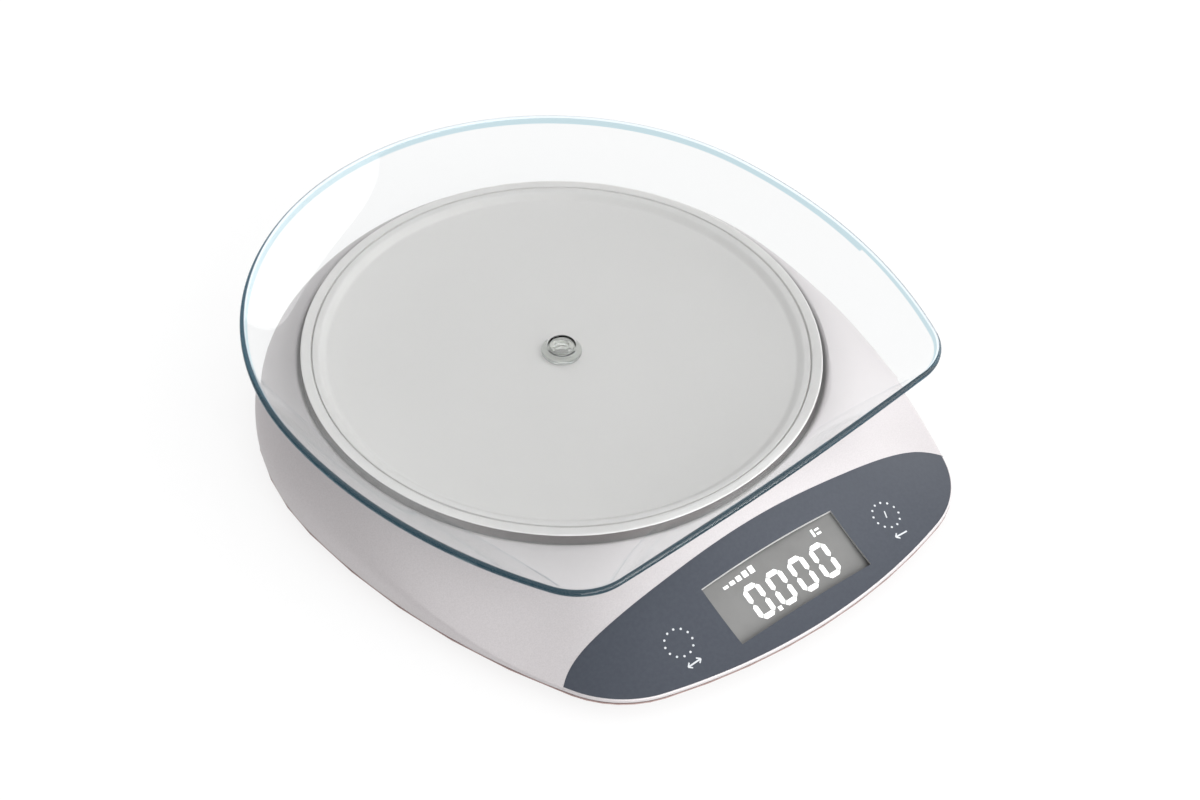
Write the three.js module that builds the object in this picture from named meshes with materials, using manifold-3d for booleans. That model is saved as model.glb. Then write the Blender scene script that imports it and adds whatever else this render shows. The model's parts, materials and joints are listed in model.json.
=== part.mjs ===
// Kitchen scale with a lift-off glass tray: round weighing platform on a bending-beam load cell,
// two-part housing, sloped front panel with a display and two touch keys, two cells in the base.
// Millimetres. X to the right, Y to the back, Z up. Everything is laid out about the disc axis
// (x = 0, y = 0) with the table at z = 0; the last lines move the origin to the middle of the base.

import * as THREE from 'three';
import { mergeVertices } from 'three/addons/utils/BufferGeometryUtils.js';
import Module from 'manifold-3d';

const wasm = await Module();
wasm.setup();

const degrees = Math.PI / 180;

// ---- driving dimensions -------------------------------------------------------------------

const touch = 0.3;             // gap left between two pieces that touch
const running = 0.5;           // gap round a piece that moves

// outlines: tangent arcs, the same on both sides of x = 0, from the back round to the front
const bodyOutline = {
  backCentreY: 0, backRadius: 94, sideRadius: 216, backEnd: 2.2 * degrees,
  sideEnd: -24.5 * degrees, cornerRadius: 32.5, frontRadius: 192,
};
const trayOutline = {
  backCentreY: 2.8, backRadius: 95, sideRadius: 169.5, backEnd: 8.5 * degrees,
  sideEnd: -25 * degrees, cornerRadius: 19, frontRadius: 1850,
};

const footHeight = 1.6;        // the pan stands this far above the table
const panDepth = 3;            // the base pan hangs this far below the housing's visible edge
const panInset = 4;
const floorThickness = 1.6;
const flangeHeight = 0.7;       // base flange that shows as a thin line under the top housing
const wall = 2;
const roofDepth = 3;           // top housing thickness, measured straight down

const openingDrop = 2.1;       // the round opening's lip lies this far below the rim plane
const openingGap = 2;          // ring-shaped gap between the platform and the opening
const shoulderInset = 2.2;
const sideShoulderDrop = 14;   // shoulder edge below the rim plane, at the back and sides
const frontShoulderDrop = 21.2;
const shoulderFadeStart = 10;  // the shoulder comes down between these distances ahead of the axis
const shoulderFadeEnd = 88;
const sideCrown = 1;
const frontSag = 1.6;
const wellDepth = 7.3;         // well floor below the opening's lip
const wellFloor = 1.6;

const rimRadius = 80;
const rimWidth = 8;            // from the flat disc out to the platform's edge
const discDrop = 1.7;          // flat disc below the platform's rim
const platformThickness = 2;
const skirtHeight = 8.2;
const skirtWall = 1.6;
const platformTravel = 0.25;

const glassThickness = 3;
const glassFloorInset = 4;     // the tray's flat floor ends this far inside the platform's edge
const glassRise = 11;          // brim above the tray's floor
const glassHoleRadius = 4.3;
const trayTurn = 3.5 * degrees;

const pegFlangeRadius = 6.2;
const pegFlangeThickness = 1.3;
const pegStemRadius = 2.9;

const cellLength = 75;
const cellWidth = 12.7;
const cellHeight = 12;
const cellScrewRadius = 2;
const cellScrewPitch = 10;
const spacerThickness = 1.1;

const carrierThickness = 1.5;
const carrierArm = 16;
const carrierInset = 20;       // disc edge to each platform screw
const bossDrop = 1.3;          // the screw bosses hang this far below the platform
const cellPadHeight = 2.3;     // least height of the pad under the load cell
const bossRadius = 4;
const screwRadius = 1.5;

const panelRearY = -86.2;
const panelHalfWidth = 77;
const panelTipY = -92.6;
const panelThickness = 1;
const panelLip = 0.8;          // housing edge left in front of the panel
const displayY = -103.3;
const windowWidth = 50;
const windowHeight = 20;
const displayThickness = 1.4;
const displayBorder = 1.2;
const frameWidth = 1;
const keySpacing = 41.2;
const keyPadRadius = 5.5;

const boardWidth = 76;
const boardDepth = 24;
const boardThickness = 1.6;
const boardFrontY = -85;
const boardStandoff = 2.5;

const batteryRadius = 5.2;
const batteryLength = 44.5;
const batteryGap = 1.6;
const bayX = 37;               // middle of the battery bay
const bayWall = 1.2;
const bayClearance = 1.4;      // left over the bay, under the well
const contactThickness = 0.4;
const springLength = 3;
const doorThickness = 1.5;

const footRadius = 7;
const footRecess = 1;
const footPlaces = [[58, 58], [-58, 58], [66, -76], [-66, -76]];
const housingScrewTurns = [90, 25, 155, -38, -142];
const housingScrewInset = 4;   // from the platform's edge in to each screw

// ---- plan sizes that follow from them -----------------------------------------------------

const openingRadius = rimRadius + openingGap;
const discRadius = rimRadius - rimWidth;
const glassFloorRadius = rimRadius - glassFloorInset;
const carrierReach = discRadius - carrierInset;
const batteryPitch = 2 * batteryRadius + batteryGap;
const onCircle = (radius, turn) => [
  radius * Math.cos(turn * degrees), radius * Math.sin(turn * degrees)];
const housingScrewPlaces = housingScrewTurns.map(
  (turn) => onCircle(rimRadius - housingScrewInset, turn));

// ---- heights that follow from them --------------------------------------------------------

const panBottomZ = footHeight;
const floorZ = panBottomZ + floorThickness;
const edgeZ = footHeight + panDepth;
const flangeTopZ = edgeZ + flangeHeight;
const wallFootZ = flangeTopZ + touch;
const batteryZ = panBottomZ + doorThickness + 2 * touch + batteryRadius;
const bayTopZ = batteryZ + batteryRadius + touch + bayWall;
// the taller of the two stacks under the platform, load cell or battery bay, sets the rim plane
const cellStackZ = floorZ + cellPadHeight + 2 * (spacerThickness + 2 * touch) + cellHeight
  + carrierThickness + touch + bossDrop + platformThickness + discDrop + touch;
const bayStackZ = bayTopZ + bayClearance + wellFloor + wellDepth + openingDrop;
const rimPlaneZ = Math.max(cellStackZ, bayStackZ);
const openingZ = rimPlaneZ - openingDrop;
const wellTopZ = openingZ - wellDepth;
const wellUnderZ = wellTopZ - wellFloor;
const platformRimZ = rimPlaneZ - touch;
const discZ = platformRimZ - discDrop;
const platformUnderZ = discZ - platformThickness;
const platformBossZ = platformUnderZ - bossDrop;
const carrierTopZ = platformBossZ - touch;
const carrierUnderZ = carrierTopZ - carrierThickness;
const cellTopZ = carrierUnderZ - 2 * touch - spacerThickness;
const cellUnderZ = cellTopZ - cellHeight;
const cellPadZ = cellUnderZ - 2 * touch - spacerThickness;
const glassFloorZ = rimPlaneZ + glassThickness;
const boardZ = floorZ + boardStandoff + touch;
const boardTopZ = boardZ + boardThickness;
const bayHalfWidth = batteryPitch / 2 + batteryRadius + touch;
const bayHalfLength = (batteryLength + springLength + 2 * contactThickness + 5 * touch) / 2;
const cellEndY = cellLength / 2 - cellScrewPitch;

// ---- small geometry kit -------------------------------------------------------------------

const mix = (a, b, t) => a + (b - a) * t;

function smoothstep(a, b, x) {
  const t = Math.min(Math.max((x - a) / (b - a), 0), 1);
  return t * t * (3 - 2 * t);
}

function solid(geometry) {
  const bare = geometry.index ? geometry.toNonIndexed() : geometry.clone();
  bare.deleteAttribute('normal');
  bare.deleteAttribute('uv');
  const merged = mergeVertices(bare, 1e-4);
  return new wasm.Manifold(new wasm.Mesh({
    numProp: 3,
    vertProperties: new Float32Array(merged.attributes.position.array),
    triVerts: new Uint32Array(merged.index.array),
  }));
}

function surfaceOf(manifold) {
  const { vertProperties, triVerts } = manifold.getMesh();
  const geometry = new THREE.BufferGeometry();
  geometry.setAttribute('position', new THREE.BufferAttribute(vertProperties, 3));
  geometry.setIndex(new THREE.BufferAttribute(triVerts, 1));
  geometry.computeVertexNormals();
  return geometry;
}

// a box by its lowest and highest corners
function box(low, high) {
  const size = high.map((value, axis) => value - low[axis]);
  const middle = high.map((value, axis) => (value + low[axis]) / 2);
  return new THREE.BoxGeometry(...size).translate(...middle);
}

// an upright cylinder standing on z = low
function cylinder(radius, low, high, x = 0, y = 0, sides = 32) {
  return new THREE.CylinderGeometry(radius, radius, high - low, sides)
    .rotateX(Math.PI / 2).translate(x, y, (low + high) / 2);
}

// a turned piece: [radius, z] points from the bottom up the outside, ending on the axis or closed
function turned(profile, sides = 48) {
  const lathe = new THREE.LatheGeometry(profile.map(([r, z]) => new THREE.Vector2(r, z)), sides)
    .rotateX(Math.PI / 2);
  const flat = lathe.attributes.position.array;
  const points = Array.from({ length: flat.length / 3 }, (_, i) => [...flat.slice(3 * i, 3 * i + 3)]);
  if (signedVolume(points, lathe.index.array) < 0) lathe.index.array.reverse();
  return lathe;
}

function signedVolume(points, index) {
  let sum = 0;
  for (let i = 0; i < index.length; i += 3) {
    const [a, b, c] = [points[index[i]], points[index[i + 1]], points[index[i + 2]]];
    sum += a[0] * (b[1] * c[2] - b[2] * c[1]) + a[1] * (b[2] * c[0] - b[0] * c[2])
      + a[2] * (b[0] * c[1] - b[1] * c[0]);
  }
  return sum;
}

// rows of equally many points round the axis, joined into one skin; closed joins the last row
// to the first, otherwise both ends are capped with a fan
function loft(rows, closed) {
  const count = rows[0].length;
  const points = rows.flat();
  const index = [];
  const last = closed ? rows.length : rows.length - 1;
  for (let row = 0; row < last; row += 1) {
    for (let column = 0; column < count; column += 1) {
      const next = (column + 1) % count;
      const a = row * count + column;
      const b = row * count + next;
      const c = ((row + 1) % rows.length) * count + column;
      const d = ((row + 1) % rows.length) * count + next;
      index.push(a, b, d, a, d, c);
    }
  }
  if (!closed) {
    for (const [row, flip] of [[0, true], [rows.length - 1, false]]) {
      const centre = [0, 1, 2].map((axis) => rows[row].reduce((s, p) => s + p[axis], 0) / count);
      points.push(centre);
      for (let column = 0; column < count; column += 1) {
        const a = row * count + column;
        const b = row * count + ((column + 1) % count);
        index.push(...(flip ? [points.length - 1, b, a] : [points.length - 1, a, b]));
      }
    }
  }
  if (signedVolume(points, index) < 0) index.reverse();
  const geometry = new THREE.BufferGeometry();
  geometry.setAttribute('position', new THREE.Float32BufferAttribute(points.flat(), 3));
  geometry.setIndex(index);
  geometry.computeVertexNormals();
  return geometry;
}

// one point in each of the given directions
function ring(angles, place) {
  return angles.map((angle) => {
    const [radius, z] = place(angle);
    return [radius * Math.cos(angle), radius * Math.sin(angle), z];
  });
}

// a round tube along points chosen by hand
function tube(points, radius, steps, sides = 8) {
  const path = new THREE.CatmullRomCurve3(points.map((p) => new THREE.Vector3(...p)));
  const section = new THREE.Shape(Array.from({ length: sides }, (_, side) => {
    const angle = (side / sides) * 2 * Math.PI;
    return new THREE.Vector2(radius * Math.cos(angle), radius * Math.sin(angle));
  }));
  return new THREE.ExtrudeGeometry(section, { steps, bevelEnabled: false, extrudePath: path });
}

// ---- outlines and the housing's skin ------------------------------------------------------

// the four tangent arcs of the right half: centre, radius and the angles they run between
function arcsOf(outline) {
  const along = (angle) => [Math.cos(angle), Math.sin(angle)];
  const step = (from, length, angle) => from.map((v, axis) => v + length * along(angle)[axis]);
  const { backRadius, sideRadius, cornerRadius, frontRadius, backEnd, sideEnd } = outline;
  const back = [0, outline.backCentreY];
  const side = step(back, backRadius - sideRadius, backEnd);
  const corner = step(side, sideRadius - cornerRadius, sideEnd);
  const frontEnd = -Math.acos(corner[0] / (frontRadius - cornerRadius));
  const front = step(corner, cornerRadius - frontRadius, frontEnd);
  return [
    { centre: back, radius: backRadius, low: backEnd, high: Math.PI / 2 },
    { centre: side, radius: sideRadius, low: sideEnd, high: backEnd },
    { centre: corner, radius: cornerRadius, low: frontEnd, high: sideEnd },
    { centre: front, radius: frontRadius, low: -Math.PI / 2, high: frontEnd },
  ];
}

// distance from the disc axis to an outline, pulled in by inset, in one direction
function outlineRadius(outline, angle, inset = 0) {
  const x = Math.abs(Math.cos(angle));
  const y = Math.sin(angle);
  for (const { centre, radius, low, high } of arcsOf(outline)) {
    const r = radius - inset;
    const middle = x * centre[0] + y * centre[1];
    const root = middle ** 2 - centre[0] ** 2 - centre[1] ** 2 + r ** 2;
    if (root < 0) continue;
    const reach = middle + Math.sqrt(root);
    const turn = Math.atan2(reach * y - centre[1], reach * x - centre[0]);
    if (turn > low - 1e-6 && turn < high + 1e-6) return reach;
  }
  throw new Error('the outline does not close');
}

// directions that cut each arc of an outline into equal turns, all the way round
function facetAngles(outline, stepsPerArc, turn = 0) {
  const half = [Math.PI / 2];
  arcsOf(outline).forEach(({ centre, radius, low, high }, arc) => {
    for (let step = 1; step <= stepsPerArc[arc]; step += 1) {
      const at = mix(high, low, step / stepsPerArc[arc]);
      half.push(Math.atan2(centre[1] + radius * Math.sin(at), centre[0] + radius * Math.cos(at)));
    }
  });
  const mirrored = half.slice(1, -1).reverse().map((angle) => Math.PI - angle);
  return [...half, ...mirrored].map((angle) => angle + turn);
}

// the shoulder's edge in one direction: its radius and height, and how far it counts as front
function shoulderAt(angle) {
  const outer = outlineRadius(bodyOutline, angle);
  const front = smoothstep(shoulderFadeStart, shoulderFadeEnd, -outer * Math.sin(angle));
  return {
    front,
    radius: outer - shoulderInset * mix(1, 0.1, front),
    z: rimPlaneZ - mix(sideShoulderDrop, frontShoulderDrop, front),
  };
}

// [radius, z] of the housing's skin: across is 0 at the opening's lip and 1 at the shoulder
function skin(angle, across, depth = 0, inset = 0) {
  const { front, radius, z } = shoulderAt(angle);
  const start = openingRadius + inset;
  const bow = mix(sideCrown, -frontSag, front) * 4 * across * (1 - across);
  return [mix(start, radius - inset, across), mix(openingZ, z, across) + bow - depth];
}

// height of the skin over one point of the plan
function skinHeight(x, y) {
  const angle = Math.atan2(y, x);
  const { radius } = shoulderAt(angle);
  const across = (Math.hypot(x, y) - openingRadius) / (radius - openingRadius);
  return skin(angle, across)[1];
}

const skinSteps = [0, 0.15, 0.35, 0.6, 0.82, 1];
const bodyFacets = facetAngles(bodyOutline, [11, 5, 6, 4]);

// the outside of the housing as one filled solid, used to cut the panel and its pocket
function envelope(drop) {
  const rows = skinSteps.map((across) => ring(bodyFacets, (angle) => skin(angle, across, drop)));
  rows.push(ring(bodyFacets, (angle) => [outlineRadius(bodyOutline, angle), wallFootZ - drop]));
  rows.push(ring(bodyFacets, (angle) => [outlineRadius(bodyOutline, angle), -2 * rimPlaneZ]));
  return solid(loft(rows, false));
}

// the panel's leaf shape in plan, as an upright column
function leafColumn(gap) {
  const rear = panelRearY - gap;
  const tipAngle = Math.atan2(panelTipY - 2 * gap, panelHalfWidth - gap);
  const onEdge = (angle) => {
    const reach = outlineRadius(bodyOutline, angle, panelLip + gap);
    return [reach * Math.cos(angle), reach * Math.sin(angle)];
  };
  const [tipX, tipY] = onEdge(tipAngle);
  const shape = new THREE.Shape();
  shape.moveTo(tipX, tipY);
  shape.quadraticCurveTo(tipX - 4, rear - 2.9, tipX * 0.85, rear - 2);
  shape.quadraticCurveTo(0, rear + 1.9, -tipX * 0.85, rear - 2);
  shape.quadraticCurveTo(4 - tipX, rear - 2.9, -tipX, tipY);
  const steps = 24;
  for (let step = 1; step < steps; step += 1) {
    shape.lineTo(...onEdge(mix(-Math.PI - tipAngle, tipAngle, step / steps)));
  }
  const column = new THREE.ExtrudeGeometry(shape, { depth: 4 * rimPlaneZ, bevelEnabled: false });
  return solid(column.translate(0, 0, -rimPlaneZ));
}

// ---- display frame of reference: tilted to the panel, origin on the panel's face ----------

const slopeReach = windowHeight / 2;
const displaySlope = Math.atan2(
  skinHeight(0, displayY + slopeReach) - skinHeight(0, displayY - slopeReach), 2 * slopeReach);
const displayZ = skinHeight(0, displayY);
const frameReach = displayBorder + touch + frameWidth;
const panelSide = displayZ - skinHeight(windowWidth / 2 + frameReach, displayY);
const displayTopDepth = (panelThickness + panelSide) * Math.cos(displaySlope) + 1.5 * touch;

function atDisplay(geometry) {
  return geometry.rotateX(displaySlope).translate(0, displayY, displayZ);
}

// ---- the pieces ---------------------------------------------------------------------------

function topHousing() {
  const edgeRow = (inset, z) => ring(bodyFacets, (angle) => [
    outlineRadius(bodyOutline, angle, inset), typeof z === 'function' ? z(angle) : z]);
  const round = (r, z) => ring(bodyFacets, () => [r, z]);
  const shoulderFoot = (angle) => mix(shoulderAt(angle).z, wallFootZ, 0.35);
  const underRoof = (angle) => Math.max(skin(angle, 1, roofDepth)[1], wallFootZ + 0.2);
  const inner = openingRadius + wall;
  const rows = [
    round(20, wellTopZ),
    round(openingRadius, wellTopZ),
    round(openingRadius, openingZ - 0.5),
    ...skinSteps.map((across) => ring(bodyFacets, (a) => skin(a, across))),
    edgeRow(0.25, shoulderFoot),
    edgeRow(0, wallFootZ),
    edgeRow(wall, wallFootZ),
    ring(bodyFacets, (a) => [outlineRadius(bodyOutline, a, wall + shoulderInset), underRoof(a)]),
    ...[0.75, 0.45, 0.1].map((across) => ring(bodyFacets, (a) => {
      const [radius, z] = skin(a, across, roofDepth, wall);
      return [Math.min(radius, outlineRadius(bodyOutline, a, wall + shoulderInset) - 0.2), z];
    })),
    round(inner, wellUnderZ),
    round(20, wellUnderZ),
  ];
  let housing = solid(loft(rows, false));
  const slotHalf = [cellWidth / 2 + 3.5, cellLength / 2 + 4];
  housing = housing.subtract(solid(box(
    [-slotHalf[0], -slotHalf[1], wellUnderZ - 5], [slotHalf[0], slotHalf[1], wellTopZ + 5])));
  for (const [x, y] of housingScrewPlaces) {
    housing = housing.add(solid(cylinder(bossRadius, wallFootZ, wellUnderZ + 0.5, x, y, 14)));
    housing = housing.subtract(solid(
      cylinder(screwRadius + touch, wallFootZ - 1, wellUnderZ - 2, x, y, 10)));
  }
  const pocket = leafColumn(0).subtract(envelope(panelThickness + touch));
  housing = housing.subtract(pocket);
  const clip = frameReach + running;
  housing = housing.subtract(solid(atDisplay(box(
    [-windowWidth / 2 - clip, -windowHeight / 2 - clip, -10],
    [windowWidth / 2 + clip, windowHeight / 2 + clip, 10]))));
  return surfaceOf(housing);
}

function frontPanel() {
  const leaf = leafColumn(touch).intersect(envelope(0)).subtract(envelope(panelThickness));
  const window = solid(atDisplay(box(
    [-windowWidth / 2, -windowHeight / 2, -10], [windowWidth / 2, windowHeight / 2, 10])));
  return surfaceOf(leaf.subtract(window));
}

// a raised cup in the base floor: screw head below, shank hole above
function screwCup(base, x, y, headRadius, headTopZ, topZ, holeRadius) {
  return base.add(solid(cylinder(headRadius + 1.4, panBottomZ + 0.2, topZ, x, y, 16)))
    .subtract(solid(cylinder(headRadius, panBottomZ - 1, headTopZ, x, y, 16)))
    .subtract(solid(cylinder(holeRadius, panBottomZ - 1, topZ + 1, x, y, 12)));
}

function bottomHousing() {
  const row = (inset, z) => ring(bodyFacets, (a) => [outlineRadius(bodyOutline, a, inset), z]);
  let base = solid(loft([
    row(panInset + 1, panBottomZ),
    row(panInset, panBottomZ + 1),
    row(panInset - 0.5, edgeZ),
    row(0.3, edgeZ),
    row(0, edgeZ + 0.3),
    row(0, flangeTopZ),
    row(panInset - 0.5 + 1.4, flangeTopZ),
    row(panInset + 2.4, floorZ),
  ], false));
  const pad = [cellWidth / 2 + 2, cellScrewPitch / 2 + 6];
  base = base.add(solid(box([-pad[0], cellEndY - pad[1], floorZ - 0.5],
    [pad[0], cellEndY + pad[1], cellPadZ])));
  for (const y of [cellEndY - cellScrewPitch / 2, cellEndY + cellScrewPitch / 2]) {
    base = base.subtract(solid(cylinder(3.6, panBottomZ - 1, panBottomZ + 1.9, 0, y, 24)));
    base = base.subtract(solid(cylinder(cellScrewRadius + touch, 0, cellPadZ + 1, 0, y, 16)));
  }
  for (const [x, y] of housingScrewPlaces) {
    base = screwCup(base, x, y, 3.4, floorZ + 0.6, flangeTopZ, screwRadius + touch);
  }
  for (const [x, y] of boardScrewPlaces()) {
    base = base.add(solid(cylinder(3, floorZ - 0.5, floorZ + boardStandoff, x, y, 20)));
    base = base.subtract(solid(
      cylinder(1 + touch, floorZ + 0.2, floorZ + boardStandoff + 1, x, y, 12)));
  }
  for (const [x, y] of footPlaces) {
    base = base.subtract(solid(
      cylinder(footRadius + touch, panBottomZ - 1, panBottomZ + footRecess, x, y, 24)));
  }
  const clear = frameReach + 0.4;
  base = base.subtract(solid(atDisplay(box(
    [-windowWidth / 2 - clear, -windowHeight / 2 - clear, -displayTopDepth - displayThickness - 1.1],
    [windowWidth / 2 + clear, windowHeight / 2 + clear, 0]))));
  const reach = [bayHalfWidth + bayWall, bayHalfLength + bayWall];
  base = base.add(solid(box([bayX - reach[0], -reach[1], floorZ - 0.5],
    [bayX + reach[0], reach[1], bayTopZ])));
  base = base.subtract(solid(box([bayX - bayHalfWidth, -bayHalfLength, panBottomZ - 1],
    [bayX + bayHalfWidth, bayHalfLength, bayTopZ - bayWall])));
  return surfaceOf(base);
}

function batteryDoor() {
  const half = [bayHalfWidth - touch, bayHalfLength - touch];
  const top = panBottomZ + doorThickness;
  const plate = solid(box([bayX - half[0], -half[1], panBottomZ], [bayX + half[0], half[1], top]));
  const notch = solid(box([bayX - 5, half[1] - 4, panBottomZ - 1],
    [bayX + 5, half[1] - 1.5, panBottomZ + 0.7]));
  let door = plate.subtract(notch);
  for (const step of [-1, 0, 1]) {
    const y = half[1] - 9 + step * 2.4;
    door = door.subtract(solid(box([bayX - 6, y, panBottomZ - 1],
      [bayX + 6, y + 0.8, panBottomZ + 0.4])));
  }
  return surfaceOf(door);
}

function platform() {
  const foot = platformRimZ - skirtHeight;
  const profile = [
    [pegStemRadius + touch, discZ], [discRadius, discZ], [discRadius + 1.2, discZ + 0.5],
    [discRadius + 3, platformRimZ - 0.1], [discRadius + 4, platformRimZ],
    [rimRadius - 0.6, platformRimZ], [rimRadius, platformRimZ - 0.6], [rimRadius, foot],
    [rimRadius - skirtWall, foot], [rimRadius - skirtWall, platformUnderZ],
    [pegStemRadius + touch, platformUnderZ], [pegStemRadius + touch, discZ],
  ];
  let disc = solid(turned(profile, 48));
  for (const [x, y] of carrierScrewPlaces()) {
    disc = disc.add(solid(cylinder(bossRadius, platformBossZ, platformUnderZ + 0.5, x, y, 20)));
    disc = disc.subtract(solid(
      cylinder(screwRadius + touch, platformBossZ - 1, discZ - 0.9, x, y, 12)));
  }
  return surfaceOf(disc);
}

function glassTray() {
  const facets = facetAngles(trayOutline, [14, 7, 8, 7], trayTurn);
  const rise = (v) => glassRise * v ** 1.4;
  const brim = (v, drop) => ring(facets, (angle) => {
    const outer = outlineRadius(trayOutline, angle - trayTurn);
    return [mix(glassFloorRadius, outer, v), glassFloorZ + rise(v) - drop];
  });
  const steps = [0, 0.08, 0.25, 0.5, 0.77];
  const edge = (inset, drop) => ring(facets, (angle) => [
    outlineRadius(trayOutline, angle - trayTurn, inset), glassFloorZ + glassRise - drop]);
  const round = (r, z) => ring(facets, () => [r, z]);
  return loft([
    round(glassHoleRadius, rimPlaneZ),
    round(glassHoleRadius, glassFloorZ),
    ...steps.map((v) => brim(v, 0)),
    edge(0.7, 0.2),
    edge(0, glassThickness * 0.35),
    edge(0, glassThickness * 0.7),
    edge(0.9, glassThickness),
    ...[...steps].reverse().map((v) => brim(v, glassThickness)),
  ], true);
}

function centrePeg() {
  const flangeZ = discZ + touch;
  const shoulderZ = flangeZ + pegFlangeThickness;
  const topZ = rimPlaneZ + glassThickness - 1;
  return turned([
    [0, platformUnderZ - 0.4], [pegStemRadius - 0.6, platformUnderZ - 0.4],
    [pegStemRadius, platformUnderZ + 0.2], [pegStemRadius, flangeZ], [pegFlangeRadius, flangeZ],
    [pegFlangeRadius, shoulderZ - 0.4], [pegFlangeRadius - 0.5, shoulderZ],
    [glassHoleRadius - running, shoulderZ], [glassHoleRadius - running, topZ - 0.4],
    [glassHoleRadius - running - 0.4, topZ], [2.2, topZ], [1.9, topZ - 1.4], [0, topZ - 1.4],
  ], 24);
}

// the four places where the carrier is screwed to the platform, on the diagonals
function carrierScrewPlaces() {
  return [45, 135, 225, 315].map((turn) => onCircle(carrierReach, turn));
}

function platformCarrier() {
  const bar = () => box([-carrierReach - 6, -carrierArm / 2, carrierUnderZ],
    [carrierReach + 6, carrierArm / 2, carrierTopZ]);
  let plate = solid(bar().rotateZ(45 * degrees)).add(solid(bar().rotateZ(-45 * degrees)));
  plate = plate.add(solid(box([-cellWidth, -cellLength / 2 - 2, carrierUnderZ],
    [cellWidth, cellLength / 2 + 2, carrierTopZ])));
  for (const [x, y] of carrierScrewPlaces()) {
    plate = plate.subtract(solid(cylinder(screwRadius + touch, 0, rimPlaneZ, x, y, 16)));
  }
  for (const y of [-cellEndY - cellScrewPitch / 2, -cellEndY + cellScrewPitch / 2]) {
    plate = plate.subtract(solid(cylinder(cellScrewRadius + touch, 0, rimPlaneZ, 0, y, 16)));
  }
  return surfaceOf(plate);
}

// aluminium bending beam: two round cut-outs joined by a slot leave thin webs over the gauges
function loadCell() {
  let beam = solid(box([-cellWidth / 2, -cellLength / 2, cellUnderZ],
    [cellWidth / 2, cellLength / 2, cellTopZ]));
  const middle = (cellUnderZ + cellTopZ) / 2;
  const across = (y) => new THREE.CylinderGeometry(4.3, 4.3, cellWidth + 4, 32)
    .rotateZ(Math.PI / 2).translate(0, y, middle);
  beam = beam.subtract(solid(across(-7))).subtract(solid(across(7)));
  beam = beam.subtract(solid(box([-cellWidth, -7, middle - 1.6], [cellWidth, 7, middle + 1.6])));
  for (const side of [-1, 1]) {
    for (const step of [-0.5, 0.5]) {
      const y = side * cellEndY + step * cellScrewPitch;
      const [low, high] = side < 0 ? [middle, cellTopZ + 1] : [cellUnderZ - 1, middle];
      beam = beam.subtract(solid(cylinder(cellScrewRadius + touch, low, high, 0, y, 20)));
    }
  }
  return surfaceOf(beam);
}

function cellSpacer(low, y) {
  let plate = solid(box([-cellWidth / 2, y - cellScrewPitch / 2 - 5, low],
    [cellWidth / 2, y + cellScrewPitch / 2 + 5, low + spacerThickness]));
  for (const step of [-0.5, 0.5]) {
    plate = plate.subtract(solid(
      cylinder(cellScrewRadius + touch, low - 1, low + 3, 0, y + step * cellScrewPitch, 20)));
  }
  return surfaceOf(plate);
}

// soft seal over the strain gauges, on the beam's middle
function gaugeSeal(low, high) {
  return box([-cellWidth / 2 + 0.6, -11, low], [cellWidth / 2 - 0.6, 11, high]);
}

// a pan-head screw pointing up: head from low, shank to tip, with a driver slot in the head
function screw(headRadius, headHeight, radius, low, tip) {
  const neck = low + headHeight;
  const body = solid(turned([
    [0, low], [headRadius * 0.75, low], [headRadius, low + headHeight * 0.5], [headRadius, neck],
    [radius, neck], [radius, tip - radius], [0, tip],
  ], 10));
  const arm = headRadius * 0.6;
  return surfaceOf(body.subtract(solid(
    box([-arm, -0.35, low - 1], [arm, 0.35, low + headHeight * 0.5]))));
}

function boardScrewPlaces() {
  const y = boardFrontY + boardDepth / 2;
  return [[-boardWidth / 2 + 4, y], [boardWidth / 2 - 4, y], [0, y + boardDepth / 2 - 3.5]];
}

function mainBoard() {
  let board = solid(box([-boardWidth / 2, boardFrontY, boardZ],
    [boardWidth / 2, boardFrontY + boardDepth, boardTopZ]));
  for (const [x, y] of boardScrewPlaces()) {
    board = board.subtract(solid(cylinder(1 + touch, 0, 20, x, y, 12)));
  }
  return surfaceOf(board);
}

function displayFrame() {
  const inner = [windowWidth / 2 + displayBorder + touch, windowHeight / 2 + displayBorder + touch];
  const outer = inner.map((half) => half + frameWidth);
  const [low, high] = [-displayTopDepth - displayThickness + 0.3, -displayTopDepth];
  const plate = solid(box([-outer[0], -outer[1], low], [outer[0], outer[1], high]));
  const hole = solid(box([-inner[0], -inner[1], low - 1], [inner[0], inner[1], high + 1]));
  return atDisplay(surfaceOf(plate.subtract(hole)));
}

// flat cable from the display's rear edge down to the board, a strip bent in one plane
function displayRibbon() {
  const rear = windowHeight / 2 + displayBorder + touch + 2.4;
  const depth = displayTopDepth + 1;
  const start = [displayY + rear * Math.cos(displaySlope) + depth * Math.sin(displaySlope),
    displayZ + rear * Math.sin(displaySlope) - depth * Math.cos(displaySlope)];
  const end = [boardFrontY + 3, boardTopZ + touch + 0.2];
  const curve = new THREE.CubicBezierCurve(
    new THREE.Vector2(...start), new THREE.Vector2(start[0] + 4, start[1] + 1.5),
    new THREE.Vector2(end[0] - 4, end[1] + 3), new THREE.Vector2(...end));
  const half = 0.12;
  const side = (sign) => Array.from({ length: 11 }, (_, step) => {
    const at = curve.getPoint(step / 10);
    const along = curve.getTangent(step / 10);
    return new THREE.Vector2(at.x - sign * half * along.y, at.y + sign * half * along.x);
  });
  const strip = new THREE.Shape([...side(1), ...side(-1).reverse()]);
  const width = boardWidth * 0.4;
  const flat = new THREE.ExtrudeGeometry(strip, { depth: width, bevelEnabled: false });
  return flat.rotateX(Math.PI / 2).rotateZ(Math.PI / 2).translate(-width / 2, 0, 0);
}

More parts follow.
